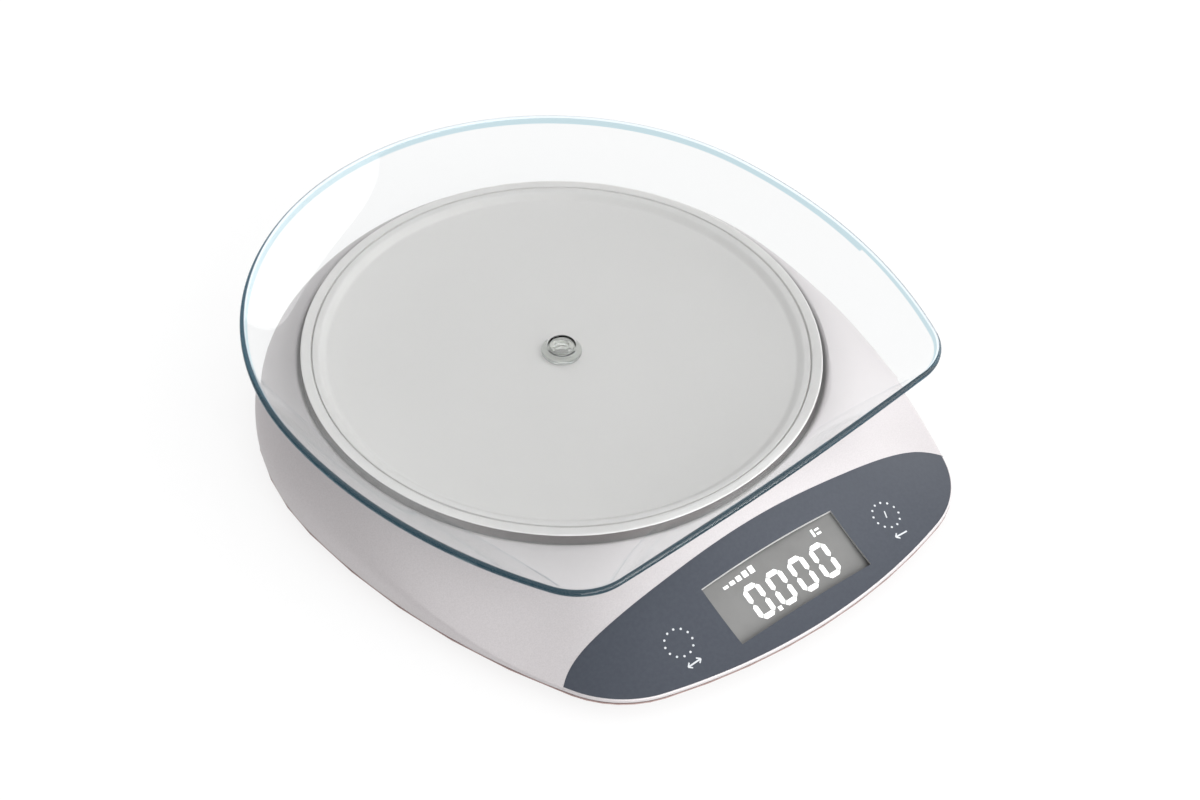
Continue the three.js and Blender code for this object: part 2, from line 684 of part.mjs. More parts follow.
// foil pad under the roof behind a touch key, lying along the slope
function touchPad(side) {
  const x = side * keySpacing;
  const slide = (skinHeight(x + 3, displayY) - skinHeight(x - 3, displayY)) / 6;
  return cylinder(keyPadRadius, -0.4, 0, 0, 0, 28).rotateY(-Math.atan(slide)).rotateX(displaySlope)
    .translate(x, displayY, skinHeight(x, displayY) - roofDepth - 2.2 * touch);
}

function touchLead(side) {
  const x = side * keySpacing;
  const z = skinHeight(x, displayY) - roofDepth;
  return tube([[x - side * 2, displayY + 6.4, z + 0.6], [x - side * 5, displayY + 12, z + 1.4],
    [side * (boardWidth / 2 - 7), boardFrontY - 1, boardTopZ + 2.4],
    [side * (boardWidth / 2 - 8), boardFrontY + 3, boardTopZ + 0.9]], 0.45, 10);
}

const connectorRearY = boardFrontY + boardDepth - 1;
const connectorTopZ = boardTopZ + touch + 4;

function cellLead(order) {
  const x = -6.8 - order * 1.9;
  const side = -cellWidth / 2 - 0.9;
  const z = cellUnderZ + 2.5 + order * 1.5;
  return tube([[side, -2 + order * 1.9, z], [side - 2.2 - order * 1.2, -10 + order, z - 1],
    [x - 1.5, -28, boardTopZ + 0.6], [x, -46, boardTopZ + 1.6],
    [x, connectorRearY + touch + 0.1, connectorTopZ - 1.8]], 0.45, 12);
}

function batteryLead(order) {
  const x = bayX - bayHalfWidth + 3 + order * batteryPitch;
  const wallY = -bayHalfLength - bayWall - touch;
  return tube([[x, wallY - 0.5, batteryZ], [x - 1, wallY - 8, batteryZ - 1],
    [22 + order * 1.8, -50, boardTopZ + 2.4],
    [21 + order * 1.8, connectorRearY + touch + 0.1, connectorTopZ - 1.8]], 0.5, 11);
}

// one AAA cell along Y, its button towards facing (+1 or -1)
function battery(order, facing) {
  const half = batteryLength / 2;
  const cell = turned([
    [0, -half], [batteryRadius - 0.5, -half], [batteryRadius, -half + 0.5],
    [batteryRadius, half - 1.5], [batteryRadius - 0.6, half - 0.9], [1.9, half - 0.9],
    [1.8, half], [0, half],
  ], 20);
  const shift = facing * (contactThickness + touch + springLength - contactThickness) / 2;
  return cell.rotateX(-facing * Math.PI / 2)
    .translate(bayX + (order - 0.5) * batteryPitch, shift, batteryZ);
}

// coil spring against the flat end of a cell
function batterySpring(order, facing) {
  const turns = 2.5;
  const wire = 0.3;
  const steps = 12;
  const plate = facing * -(bayHalfLength - touch - contactThickness);
  const points = Array.from({ length: steps + 1 }, (_, step) => {
    const t = step / steps;
    const r = mix(3.2, 2, t);
    const angle = t * turns * 2 * Math.PI;
    const y = plate + facing * mix(wire + touch, springLength - wire - touch, t);
    return [bayX + (order - 0.5) * batteryPitch + r * Math.cos(angle), y,
      batteryZ + r * Math.sin(angle)];
  });
  return tube(points, wire, steps * 2, 6);
}

function contactPlate(from, to, side) {
  const y = side * (bayHalfLength - touch - contactThickness / 2);
  return box([bayX + from, y - contactThickness / 2, batteryZ - 4],
    [bayX + to, y + contactThickness / 2, batteryZ + 4]);
}

function foot() {
  return turned([
    [0, 0], [footRadius - 1.2, 0], [footRadius - 0.2, 0.7], [footRadius - 0.2, 1],
    [footRadius, 1.2], [footRadius, panBottomZ + footRecess - touch],
    [0, panBottomZ + footRecess - touch],
  ], 20);
}

// ---- assembly -----------------------------------------------------------------------------

const finishes = {
  glass: { color: 0xdfeeee, roughness: 0.05, metalness: 0, transparent: true, opacity: 0.4 },
  silver: { color: 0xd8d6d6, roughness: 0.38, metalness: 0.35 },
  grey: { color: 0xcfcfce, roughness: 0.5, metalness: 0.2 },
  slate: { color: 0x545a66, roughness: 0.25, metalness: 0 },
  base: { color: 0xc9c2c0, roughness: 0.55, metalness: 0 },
  display: { color: 0x969694, roughness: 0.15, metalness: 0 },
  clear: { color: 0xe4e8e4, roughness: 0.2, metalness: 0 },
  white: { color: 0xf2f2ee, roughness: 0.6, metalness: 0 },
  black: { color: 0x1d1e20, roughness: 0.6, metalness: 0 },
  aluminium: { color: 0xc4c7ca, roughness: 0.35, metalness: 0.9 },
  steel: { color: 0xb4b6b8, roughness: 0.3, metalness: 1 },
  board: { color: 0x2a6b3c, roughness: 0.45, metalness: 0 },
  rubber: { color: 0x2b2b2c, roughness: 0.9, metalness: 0 },
  copper: { color: 0xc98d4e, roughness: 0.35, metalness: 1 },
  battery: { color: 0x2c4a78, roughness: 0.3, metalness: 0.3 },
};
const leadColours = { red: 0xb02a24, black: 0x1b1b1b, green: 0x2f7d3c, white: 0xe8e8e4 };

const scale = new THREE.Group();

function piece(name, geometry, finish, place = [0, 0, 0], turn = [0, 0, 0]) {
  const mesh = new THREE.Mesh(geometry, new THREE.MeshStandardMaterial(finishes[finish]));
  mesh.name = name;
  mesh.position.set(...place);
  mesh.rotation.set(...turn);
  scale.add(mesh);
  return mesh;
}

function lead(name, geometry, colour) {
  piece(name, geometry, 'black').material.color.set(leadColours[colour]);
}

piece('glass_tray', glassTray(), 'glass');
piece('centre_peg', centrePeg(), 'clear');
piece('platform', platform(), 'grey');
piece('platform_carrier', platformCarrier(), 'black');
carrierScrewPlaces().forEach(([x, y], order) => {
  const low = carrierUnderZ - touch - 1.3;
  piece(`platform_screw_${order + 1}`, screw(2.8, 1.3, screwRadius, 0, discZ - 1.2 - low),
    'steel', [x, y, low]);
});
piece('load_cell', loadCell(), 'aluminium');
piece('gauge_seal_top', gaugeSeal(cellTopZ + touch, cellTopZ + touch + 0.8), 'white');
piece('gauge_seal_bottom', gaugeSeal(cellUnderZ - touch - 0.8, cellUnderZ - touch), 'white');
piece('cell_base_spacer', cellSpacer(cellUnderZ - touch - spacerThickness, cellEndY), 'steel');
piece('cell_top_spacer', cellSpacer(cellTopZ + touch, -cellEndY), 'steel');
[-0.5, 0.5].forEach((step, order) => {
  const reach = cellHeight / 2 - 1;
  const baseLow = panBottomZ + 0.3;
  const headTop = carrierTopZ + touch + 1;
  piece(`cell_base_screw_${order + 1}`,
    screw(3.2, 1.3, cellScrewRadius, 0, cellUnderZ + reach - baseLow),
    'steel', [0, cellEndY + step * cellScrewPitch, baseLow]);
  piece(`cell_top_screw_${order + 1}`,
    screw(3, 1, cellScrewRadius, 0, headTop - cellTopZ + reach),
    'steel', [0, -cellEndY + step * cellScrewPitch, headTop], [Math.PI, 0, 0]);
});

piece('top_housing', topHousing(), 'silver');
piece('front_panel', frontPanel(), 'slate');
piece('bottom_housing', bottomHousing(), 'base');
piece('battery_door', batteryDoor(), 'base');
footPlaces.forEach(([x, y], order) => piece(`foot_${order + 1}`, foot(), 'rubber', [x, y, 0]));
housingScrewPlaces.forEach(([x, y], order) => {
  const low = floorZ + 0.6 - touch - 1.4;
  piece(`housing_screw_${order + 1}`, screw(2.9, 1.4, screwRadius, 0, wellUnderZ - 3 - low),
    'steel', [x, y, low]);
});

piece('display_glass', atDisplay(box(
  [-windowWidth / 2 - displayBorder, -windowHeight / 2 - displayBorder,
    -displayTopDepth - displayThickness],
  [windowWidth / 2 + displayBorder, windowHeight / 2 + displayBorder, -displayTopDepth])), 'display');
piece('display_backlight', atDisplay(box(
  [-windowWidth / 2 + 1, -windowHeight / 2 + 1, -displayTopDepth - displayThickness - touch - 0.6],
  [windowWidth / 2 - 1, windowHeight / 2 - 1, -displayTopDepth - displayThickness - touch])), 'white');
piece('display_frame', displayFrame(), 'black');
piece('display_ribbon', displayRibbon(), 'copper');
piece('main_board', mainBoard(), 'board');
boardScrewPlaces().forEach(([x, y], order) => {
  piece(`board_screw_${order + 1}`, screw(1.9, 1.1, 1, 0, 1.1 + touch + boardThickness + 1.8),
    'steel', [x, y, boardTopZ + touch + 1.1], [Math.PI, 0, 0]);
});
piece('controller_blob', turned([
  [0, 0], [5, 0], [4.6, 0.7], [3, 1.3], [0, 1.5]], 20), 'black',
[0, boardFrontY + boardDepth / 2 - 2, boardTopZ + touch]);
for (const [name, x, width] of [['cell_connector', -9.65, 8.4], ['battery_connector', 22, 5]]) {
  piece(name, box([x - width / 2, connectorRearY - 5, boardTopZ + touch],
    [x + width / 2, connectorRearY, connectorTopZ]), 'white');
}
[['left', -1], ['right', 1]].forEach(([name, side]) => {
  piece(`touch_pad_${name}`, touchPad(side), 'copper');
  lead(`touch_lead_${name}`, touchLead(side), 'black');
});
['red', 'black', 'green', 'white'].forEach((colour, order) => {
  lead(`cell_lead_${colour}`, cellLead(order), colour);
});
['red', 'black'].forEach((colour, order) => {
  lead(`battery_lead_${colour}`, batteryLead(order), colour);
});

[1, -1].forEach((facing, order) => {
  piece(`battery_${order + 1}`, battery(order, facing), 'battery');
  piece(`battery_spring_${order + 1}`, batterySpring(order, facing), 'steel');
});
piece('battery_bridge', contactPlate(-bayHalfWidth + 1, bayHalfWidth - 1, 1), 'steel');
piece('battery_contact_left', contactPlate(-bayHalfWidth + 1, -0.8, -1), 'steel');
piece('battery_contact_right', contactPlate(0.8, bayHalfWidth - 1, -1), 'steel');

// origin in the middle of the base of the whole object's box
const bounds = new THREE.Box3().setFromObject(scale, true);
const middle = bounds.getCenter(new THREE.Vector3());
scale.position.set(-middle.x, -middle.y, -bounds.min.z);
scale.updateMatrixWorld(true);

export default scale;
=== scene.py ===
# %% [markdown]
# # Kitchen scale
# A flat digital kitchen scale: a dished glass tray lies on a round weighing platform, the platform
# stands on a load cell inside a silver two-part housing, and a slate panel at the front carries the
# display and two touch keys. The CAD frame holds the true sizes and everything that moves. This
# script gives the visible pieces their fine surfaces and every piece its material.

# %% Load the frame
import json
import math

import bmesh
import bpy
import numpy as np
from mathutils import Matrix, Vector


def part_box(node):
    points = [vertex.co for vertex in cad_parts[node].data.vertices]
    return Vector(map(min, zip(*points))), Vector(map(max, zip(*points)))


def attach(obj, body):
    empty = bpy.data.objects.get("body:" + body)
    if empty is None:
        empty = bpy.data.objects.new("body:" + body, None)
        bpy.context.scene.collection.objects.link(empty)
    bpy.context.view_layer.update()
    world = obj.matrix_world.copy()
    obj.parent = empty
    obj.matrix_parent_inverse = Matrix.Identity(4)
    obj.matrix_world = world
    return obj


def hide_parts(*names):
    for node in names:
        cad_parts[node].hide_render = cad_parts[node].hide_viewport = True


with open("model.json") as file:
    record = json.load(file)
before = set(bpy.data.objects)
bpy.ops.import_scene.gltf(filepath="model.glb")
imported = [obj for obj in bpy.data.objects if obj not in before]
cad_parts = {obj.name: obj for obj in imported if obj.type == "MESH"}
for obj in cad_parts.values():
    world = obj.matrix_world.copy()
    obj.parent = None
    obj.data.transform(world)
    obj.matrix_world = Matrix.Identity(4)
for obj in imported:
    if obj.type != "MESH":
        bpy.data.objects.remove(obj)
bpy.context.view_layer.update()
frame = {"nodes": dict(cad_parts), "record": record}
nodes = frame["nodes"]

# %% [markdown]
# ## Where things are
# All surfaces are worked out in millimetres about the disc axis, with the table at height 0, and
# moved into the frame at the end. The heights are read from the frame's own boxes, so the fine
# pieces sit exactly where the CAD pieces do.

# %% Read the places from the frame
MM = 0.001


def box_mm(node):
    """Lowest and highest corner of a CAD node in millimetres."""
    low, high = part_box(node)
    return np.array(low) / MM, np.array(high) / MM


platform_low, platform_high = box_mm("platform")
AXIS = np.array([*(platform_low[:2] + platform_high[:2]) / 2, 0.0])
RIM_RADIUS = (platform_high[0] - platform_low[0]) / 2
TOUCH = 0.3
RING_Z = platform_high[2] + TOUCH
LIP_DROP = 0.7
OPENING_Z = box_mm("top_housing")[1][2] - LIP_DROP
FOOT_Z = box_mm("top_housing")[0][2]
GLASS_TOP_Z = box_mm("glass_tray")[1][2]
print("disc axis", np.round(AXIS[:2], 2), "rim radius", RIM_RADIUS, "rim plane", round(RING_Z, 2))

# %% [markdown]
# ## Outlines
# Seen from above, the body and the tray are egg shapes: a round back, long soft sides, tight front
# corners and a bowed front. A designer draws such an outline as arcs that run into each other
# without a kink, so each outline is four tangent arcs, mirrored. A free curve would need many more
# numbers and would never be as clean along the long sides.

# %% Tangent-arc outlines
BODY = dict(centre_y=0.0, back=94.0, side=216.0, corner=32.5, front=192.0,
            back_end=2.2, side_end=-24.5)
TRAY = dict(centre_y=2.8, back=95.0, side=169.5, corner=19.0, front=1850.0,
            back_end=8.5, side_end=-25.0)
TRAY_TURN = math.radians(3.5)


def arcs_of(outline):
    """The right half's arcs as (centre, radius, lowest angle, highest angle). Each centre lies on
    the line from the last centre through the shared end, so the arcs meet without a kink."""
    def along(angle):
        return np.array([math.cos(angle), math.sin(angle)])

    back_end, side_end = math.radians(outline["back_end"]), math.radians(outline["side_end"])
    back = np.array([0.0, outline["centre_y"]])
    side = back + (outline["back"] - outline["side"]) * along(back_end)
    corner = side + (outline["side"] - outline["corner"]) * along(side_end)
    front_end = -math.acos(corner[0] / (outline["front"] - outline["corner"]))
    front = corner + (outline["corner"] - outline["front"]) * along(front_end)
    return [
        (back, outline["back"], back_end, math.pi / 2),
        (side, outline["side"], side_end, back_end),
        (corner, outline["corner"], front_end, side_end),
        (front, outline["front"], -math.pi / 2, front_end),
    ]


def outline_radius(outline, angle, inset=0.0):
    """Distance from the disc axis to the outline in each direction: the ray is met with each arc
    in turn, and the meeting that lies within the arc's own angles is the one that counts."""
    x, y = np.abs(np.cos(angle)), np.sin(angle)
    found = np.full(np.shape(angle), np.nan)
    for centre, radius, low, high in arcs_of(outline):
        middle = x * centre[0] + y * centre[1]
        root = middle**2 - centre @ centre + (radius - inset) ** 2
        reach = middle + np.sqrt(np.maximum(root, 0))
        turn = np.arctan2(reach * y - centre[1], reach * x - centre[0])
        hit = (root >= 0) & (turn > low - 1e-6) & (turn < high + 1e-6) & np.isnan(found)
        found = np.where(hit, reach, found)
    return found


three_ways = np.array([0.0, math.pi / 2, -math.pi / 2])
print("body reach right, back, front:", np.round(outline_radius(BODY, three_ways), 1))

# %% [markdown]
# ## The housing's skin
# From the round opening the skin falls outwards to a shoulder. At the back and the sides the
# shoulder is high and the skin is slightly crowned; towards the front it comes down almost to the
# base, and the skin is a long, slightly hollow slope that carries the panel.

# %% Skin height
OPENING_RADIUS = 82.0
SHOULDER_INSET = 2.2
SIDE_SHOULDER_DROP, FRONT_SHOULDER_DROP = 14.0, 21.2
FADE_START, FADE_END = 10.0, 88.0
SIDE_CROWN, FRONT_SAG = 1.0, 1.6
FRONT_INSET_SHARE = 0.1
DISPLAY_Y = -103.3


def mix(a, b, t):
    """a at t = 0, b at t = 1, and a straight line between."""
    return a + (b - a) * t


def smoothstep(a, b, x):
    """0 before a, 1 after b, and 3t^2 - 2t^3 between."""
    t = np.clip((x - a) / (b - a), 0, 1)
    return t * t * (3 - 2 * t)


def shoulder_at(angle):
    """Radius and height of the shoulder in each direction, and how far that direction is front."""
    outer = outline_radius(BODY, angle)
    frontness = smoothstep(FADE_START, FADE_END, -outer * np.sin(angle))
    radius = outer - SHOULDER_INSET * mix(1, FRONT_INSET_SHARE, frontness)
    return radius, RING_Z - mix(SIDE_SHOULDER_DROP, FRONT_SHOULDER_DROP, frontness), frontness


def skin_z(angle, radius):
    """Height of the skin: a straight fall from opening to shoulder plus a bow of 4t(1-t)."""
    reach, low_z, frontness = shoulder_at(angle)
    t = (radius - OPENING_RADIUS) / (reach - OPENING_RADIUS)
    bow = mix(SIDE_CROWN, -FRONT_SAG, frontness)
    return mix(OPENING_Z, low_z, t) + bow * 4 * t * (1 - t)


def skin_at(x, y):
    """The same height at a point of the plan."""
    return skin_z(np.arctan2(y, x), np.hypot(x, y))


print("skin height in the middle of the display:", np.round(skin_at(0.0, DISPLAY_Y), 2), "mm")

# %% [markdown]
# ## From arrays to pieces
# Every surface here is a grid of points. One helper joins a grid into faces, another makes the
# mesh, shades it smoothly with kept sharp edges, and lets it ride on its body.

# %% Mesh helpers
WELD, SLIVER = 2e-7, 1e-7


def grid_faces(rows, columns, wrap_rows=False, wrap_columns=True):
    """Quads between neighbouring points of a rows x columns grid, counter-clockwise."""
    row = np.arange(rows if wrap_rows else rows - 1)
    column = np.arange(columns if wrap_columns else columns - 1)
    r, c = np.meshgrid(row, column, indexing="ij")
    r2, c2 = (r + 1) % rows, (c + 1) % columns
    quads = np.stack([r * columns + c, r * columns + c2, r2 * columns + c2, r2 * columns + c], -1)
    return quads.reshape(-1, 4)


def make_piece(name, points, faces, body, finish, stands_for=(), sharp=35.0, second=None):
    """Points in millimetres about the disc axis, faces as an array or a list: a finished piece.
    second is a further finish and the rule that picks its faces from their middle points."""
    points = np.asarray(points, float).reshape(-1, 3)
    mesh = bpy.data.meshes.new(name)
    mesh.from_pydata((points + AXIS) * MM, [], [list(map(int, face)) for face in faces])
    mesh.materials.append(finish)
    if second:
        mesh.materials.append(second[0])
        middle = points[np.asarray(faces)].mean(1)
        mesh.polygons.foreach_set("material_index", second[1](middle).astype(np.int32))
    mesh.validate()
    clean = bmesh_of(mesh)
    bmesh.ops.remove_doubles(clean, verts=clean.verts, dist=WELD)
    bmesh.ops.dissolve_degenerate(clean, edges=clean.edges, dist=SLIVER)
    if clean.calc_volume(signed=True) < 0:
        bmesh.ops.reverse_faces(clean, faces=clean.faces)
    clean.to_mesh(mesh)
    clean.free()
    mesh.shade_smooth()
    mesh.set_sharp_from_angle(angle=math.radians(sharp))
    piece = bpy.data.objects.new(name, mesh)
    bpy.context.scene.collection.objects.link(piece)
    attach(piece, body)
    if stands_for:
        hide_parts(*stands_for)
    print(f"{name}: {len(mesh.polygons)} faces on {body}")
    return piece


def bmesh_of(mesh):
    """An editable copy of a mesh."""
    made = bmesh.new()
    made.from_mesh(mesh)
    return made


def polar(angle, radius, z):
    """Points on rays from the disc axis; the three arrays broadcast together."""
    angle, radius, z = np.broadcast_arrays(angle, radius, z)
    return np.stack([radius * np.cos(angle), radius * np.sin(angle), z], -1)


def rays(count):
    """That many directions, evenly all round."""
    return np.arange(count) / count * 2 * math.pi


def arc_rows(start, control, end, count):
    """Rows along (1-t)^2 start + 2t(1-t) control + t^2 end, which leaves start towards control
    and arrives at end from it."""
    t = np.linspace(0, 1, count)[:, None, None]
    return (1 - t) ** 2 * start + 2 * t * (1 - t) * control + t**2 * end


# %% [markdown]
# ## Materials
# A finish is a small node tree: a Principled shader with its even values set on its own sockets,
# and noise for what varies, such as the flake of silver lacquer, the fine grain of a moulding, or
# the slight unevenness of gloss. Noise reads Object coordinates, so a pattern stays on its piece.

# %% Material helpers
def new_finish(name, colour, roughness, metallic=0.0, **values):
    """A material with a Principled shader; further socket values by name."""
    finish = bpy.data.materials.new(name)
    finish.use_nodes = True
    shader = finish.node_tree.nodes["Principled BSDF"]
    shader.inputs["Base Color"].default_value = (*colour, 1.0)
    shader.inputs["Roughness"].default_value = roughness
    shader.inputs["Metallic"].default_value = metallic
    for socket, value in values.items():
        shader.inputs[socket.replace("_", " ")].default_value = value
    return finish


def add_node(finish, kind, **settings):
    """A new node of that kind in the finish's tree."""
    node = finish.node_tree.nodes.new(kind)
    for key, value in settings.items():
        setattr(node, key, value)
    return node


def noise_of(finish, scale, detail=3.0, rough=0.55):
    """Noise over Object coordinates, in features per metre."""
    place = add_node(finish, "ShaderNodeTexCoord")
    noise = add_node(finish, "ShaderNodeTexNoise")
    noise.inputs["Scale"].default_value = scale
    noise.inputs["Detail"].default_value = detail
    noise.inputs["Roughness"].default_value = rough
    finish.node_tree.links.new(place.outputs["Object"], noise.inputs["Vector"])
    return noise


def vary_colour(finish, scale, dark, light, low=0.35, high=0.65):
    """The base colour runs from dark to light with the noise."""
    ramp = add_node(finish, "ShaderNodeValToRGB")
    ramp.color_ramp.elements[0].position, ramp.color_ramp.elements[1].position = low, high
    ramp.color_ramp.elements[0].color = (*dark, 1)
    ramp.color_ramp.elements[1].color = (*light, 1)
    links = finish.node_tree.links
    links.new(noise_of(finish, scale).outputs["Fac"], ramp.inputs["Fac"])
    links.new(ramp.outputs["Color"], finish.node_tree.nodes["Principled BSDF"].inputs["Base Color"])
    return finish


def vary_roughness(finish, scale, smooth, rough):
    """Roughness runs from smooth to rough with the noise."""
    span = add_node(finish, "ShaderNodeMapRange")
    span.inputs["To Min"].default_value = smooth
    span.inputs["To Max"].default_value = rough
    links = finish.node_tree.links
    links.new(noise_of(finish, scale).outputs["Fac"], span.inputs["Value"])
    links.new(span.outputs["Result"], finish.node_tree.nodes["Principled BSDF"].inputs["Roughness"])
    return finish


def add_grain(finish, scale, depth_mm, strength=0.5):
    """A fine bump: moulded grain, lacquer orange peel or metal texture."""
    bump = add_node(finish, "ShaderNodeBump")
    bump.inputs["Strength"].default_value = strength
    bump.inputs["Distance"].default_value = depth_mm * MM
    links = finish.node_tree.links
    links.new(noise_of(finish, scale, 2.0).outputs["Fac"], bump.inputs["Height"])
    links.new(bump.outputs["Normal"], finish.node_tree.nodes["Principled BSDF"].inputs["Normal"])
    return finish


# %% [markdown]
# ### Silver lacquer, grey platform and base
# The shell is moulded plastic under a thin silver lacquer: part metallic, satin, with a very fine
# flake. The platform is a dull light grey moulding. The outer face of its skirt is very dark brown,
# partly its own colour and partly painted shade for the narrow gap between the platform and the
# opening.
# The base is bare plastic with a fine grain. Each colour runs a little lighter and darker.

# %% Plastics
silver = new_finish("silver lacquer", (0.475, 0.452, 0.46), 0.5, metallic=0.35)
vary_colour(silver, 2600, (0.45, 0.428, 0.435), (0.5, 0.477, 0.484))
add_grain(silver, 1800, 0.01, 0.25)
platform_grey = new_finish("platform grey", (0.83, 0.815, 0.8), 0.6, Specular_IOR_Level=0.3)
vary_colour(platform_grey, 1500, (0.82, 0.805, 0.79), (0.84, 0.825, 0.81))
vary_roughness(platform_grey, 300, 0.46, 0.56)
add_grain(platform_grey, 2200, 0.012, 0.3)
# painted shade: the skirt's very dark brown is partly its own colour and partly the shade in the
# narrow gap round the platform
skirt_brown_and_shade = new_finish("skirt brown and painted shade", (0.034, 0.02, 0.019), 0.5, Specular_IOR_Level=0.15)
vary_colour(skirt_brown_and_shade, 900, (0.03, 0.017, 0.016), (0.038, 0.023, 0.022))
base_plastic = new_finish("base plastic", (0.3, 0.215, 0.2), 0.5)
vary_colour(base_plastic, 400, (0.285, 0.203, 0.188), (0.315, 0.228, 0.213))
add_grain(base_plastic, 1400, 0.03, 0.4)
black_plastic = add_grain(new_finish("black plastic", (0.02, 0.02, 0.022), 0.45), 1400, 0.02, 0.4)
white_plastic = add_grain(new_finish("white plastic", (0.8, 0.8, 0.78), 0.4), 1400, 0.02, 0.3)
print("plastics:", [finish.name for finish in (
    silver, platform_grey, skirt_brown_and_shade, base_plastic, black_plastic, white_plastic)])

# %% [markdown]
# ### Slate panel, display and print
# The panel is a thin acrylic sheet printed slate grey from behind, so it has a smooth gloss over a
# matt colour. Its cut edges are light grey, partly the acrylic's own edge and partly a painted
# highlight for the thin bright line along the window. The display is a grey liquid-crystal cell
# whose lit segments are nearly white.

# %% Panel finishes
slate = new_finish("slate print", (0.032, 0.038, 0.052), 0.45, Specular_IOR_Level=0.4)
vary_colour(slate, 900, (0.03, 0.036, 0.05), (0.035, 0.042, 0.056))
add_grain(slate, 260, 0.004, 0.3)
# painted highlight: the sheet's cut edges are light grey, partly the acrylic's own edge and partly a
# painted highlight along the window
sheet_edge_and_highlight = add_grain(new_finish("sheet edge with painted highlight", (0.35, 0.35, 0.35), 0.3), 900, 0.01, 0.3)
display_grey = new_finish("display grey", (0.135, 0.135, 0.132), 0.45)
vary_colour(display_grey, 90, (0.126, 0.126, 0.123), (0.144, 0.144, 0.141))
segment_white = new_finish("lit segment", (0.9, 0.91, 0.9), 0.4,
                           Emission_Color=(1, 1, 1, 1), Emission_Strength=0.12)
print_white = add_grain(new_finish("white print", (0.5, 0.52, 0.54), 0.5), 4000, 0.005, 0.3)
print("panel, display and print:", [finish.name for finish in (slate, segment_white, print_white)])

# %% [markdown]
# ### Glass
# The tray is clear float glass. It looks colourless face on and dark blue-green along its edge,
# because light that leaves at the edge has run a long way through slightly iron-stained glass.
# That is a volume effect, so most of the tint is an absorption inside the glass. The rounded edge
# has its own finish with a very faint painted blue glow, an emission that stands in for the light
# that the sheet carries to its edge.

# %% Glass and clear silicone
IRON_TINT = (0.25, 0.62, 0.70, 1)
IRON_DENSITY = 9.0


def tint_inside(finish):
    """Absorption in the volume: the deeper light runs, the more it takes the tint."""
    absorb = add_node(finish, "ShaderNodeVolumeAbsorption")
    absorb.inputs["Color"].default_value = IRON_TINT
    absorb.inputs["Density"].default_value = IRON_DENSITY
    outlet = finish.node_tree.nodes["Material Output"]
    finish.node_tree.links.new(absorb.outputs["Volume"], outlet.inputs["Volume"])
    return finish


tray_glass = tint_inside(new_finish(
    "tray glass", (0.93, 0.93, 0.93), 0.0, Transmission_Weight=1.0, IOR=1.5))
# painted glow: the edge finish emits a faint blue light that stands in for light carried through the
# sheet
glass_edge_and_glow = tint_inside(new_finish(
    "ground glass edge with painted glow", (0.94, 0.955, 0.96), 0.03, Transmission_Weight=1.0, IOR=1.5,
    Emission_Color=(0.14, 0.65, 1.0, 1.0), Emission_Strength=0.06))
clear_silicone = new_finish(
    "clear silicone", (0.93, 0.95, 0.92), 0.18, Transmission_Weight=0.85, IOR=1.42)
vary_roughness(clear_silicone, 900, 0.12, 0.24)
print("glass and silicone:", [finish.name for finish in (tray_glass, glass_edge_and_glow, clear_silicone)])

# %% [markdown]
# ### Metal, rubber, board and wires
# These show when the tray is off, the battery door is open, or the scale is turned over.

# %% Small finishes
steel = add_grain(new_finish("zinc steel", (0.6, 0.61, 0.62), 0.3, 1.0), 1500, 0.01, 0.3)
aluminium = add_grain(new_finish("milled aluminium", (0.72, 0.73, 0.74), 0.33, 1.0), 700, 0.01, 0.4)
copper = add_grain(new_finish("copper foil", (0.72, 0.42, 0.22), 0.32, 1.0), 900, 0.01, 0.3)
rubber = vary_roughness(new_finish("foot rubber", (0.03, 0.03, 0.031), 0.8), 600, 0.7, 0.9)
add_grain(rubber, 1200, 0.04, 0.5)
board_green = add_grain(new_finish("board green", (0.02, 0.13, 0.045), 0.35), 500, 0.01, 0.3)
sleeve = new_finish("battery sleeve", (0.03, 0.08, 0.22), 0.28, metallic=0.3)
vary_roughness(sleeve, 200, 0.22, 0.36)
seal_white = add_grain(new_finish("seal white", (0.78, 0.78, 0.75), 0.6), 900, 0.05, 0.5)
WIRES = {"red": (0.5, 0.02, 0.015), "black": (0.015, 0.015, 0.015),
         "green": (0.02, 0.22, 0.05), "white": (0.75, 0.75, 0.73)}
wire_finishes = {
    f"lead_{colour}": add_grain(new_finish(f"{colour} wire", shade, 0.42), 1500, 0.02, 0.3)
    for colour, shade in WIRES.items()}
print("wires:", list(wire_finishes))

# %% [markdown]
# ### Finishes on the CAD pieces
# The record says which material slot each node takes, so the finish follows from the slot.

# %% Dress the CAD nodes
SLOT_FINISH = {
    "tray_glass": tray_glass, "clear_silicone": clear_silicone, "platform_grey": platform_grey,
    "silver_plastic": silver, "slate_panel": slate, "base_plastic": base_plastic,
    "black_plastic": black_plastic, "cell_aluminium": aluminium, "white_seal": seal_white,
    "white_plastic": white_plastic, "bright_steel": steel, "display_grey": display_grey,
    "copper_foil": copper, "board_green": board_green, "foot_rubber": rubber,
    "battery_sleeve": sleeve, **wire_finishes,
}
for part in frame["record"]["subparts"]:
    mesh = nodes[part["node"]].data
    mesh.materials.clear()
    mesh.materials.append(SLOT_FINISH[part["material_slot"]])

# %% [markdown]
# ## Top housing
# One moulded shell: the well under the platform, the rolled lip of the opening, the sloping skin,
# the pocket that takes the panel, the soft shoulder and the wall. Each is a few rows of points
# round the disc axis, so the whole shell is one closed grid. Where a direction has no pocket, its
# rows fall together and are merged away.

# %% Panel boundary in plan
PANEL_REAR_Y = -86.2
PANEL_LIP = 0.35
PANEL_TIP_X = 76.3
PANEL_BOW = 0.9
TIP_TURN, TIP_POWER = 5.3, 14
FRONT_SINE = -0.5
FAR = 1e6


def panel_rear_y(x):
    """Nearly straight across: a soft bow with the square of the way out, and a sharp turn down at
    the tips with its fourteenth power."""
    s = np.abs(x) / PANEL_TIP_X
    return PANEL_REAR_Y - PANEL_BOW * s**2 - TIP_TURN * s**TIP_POWER


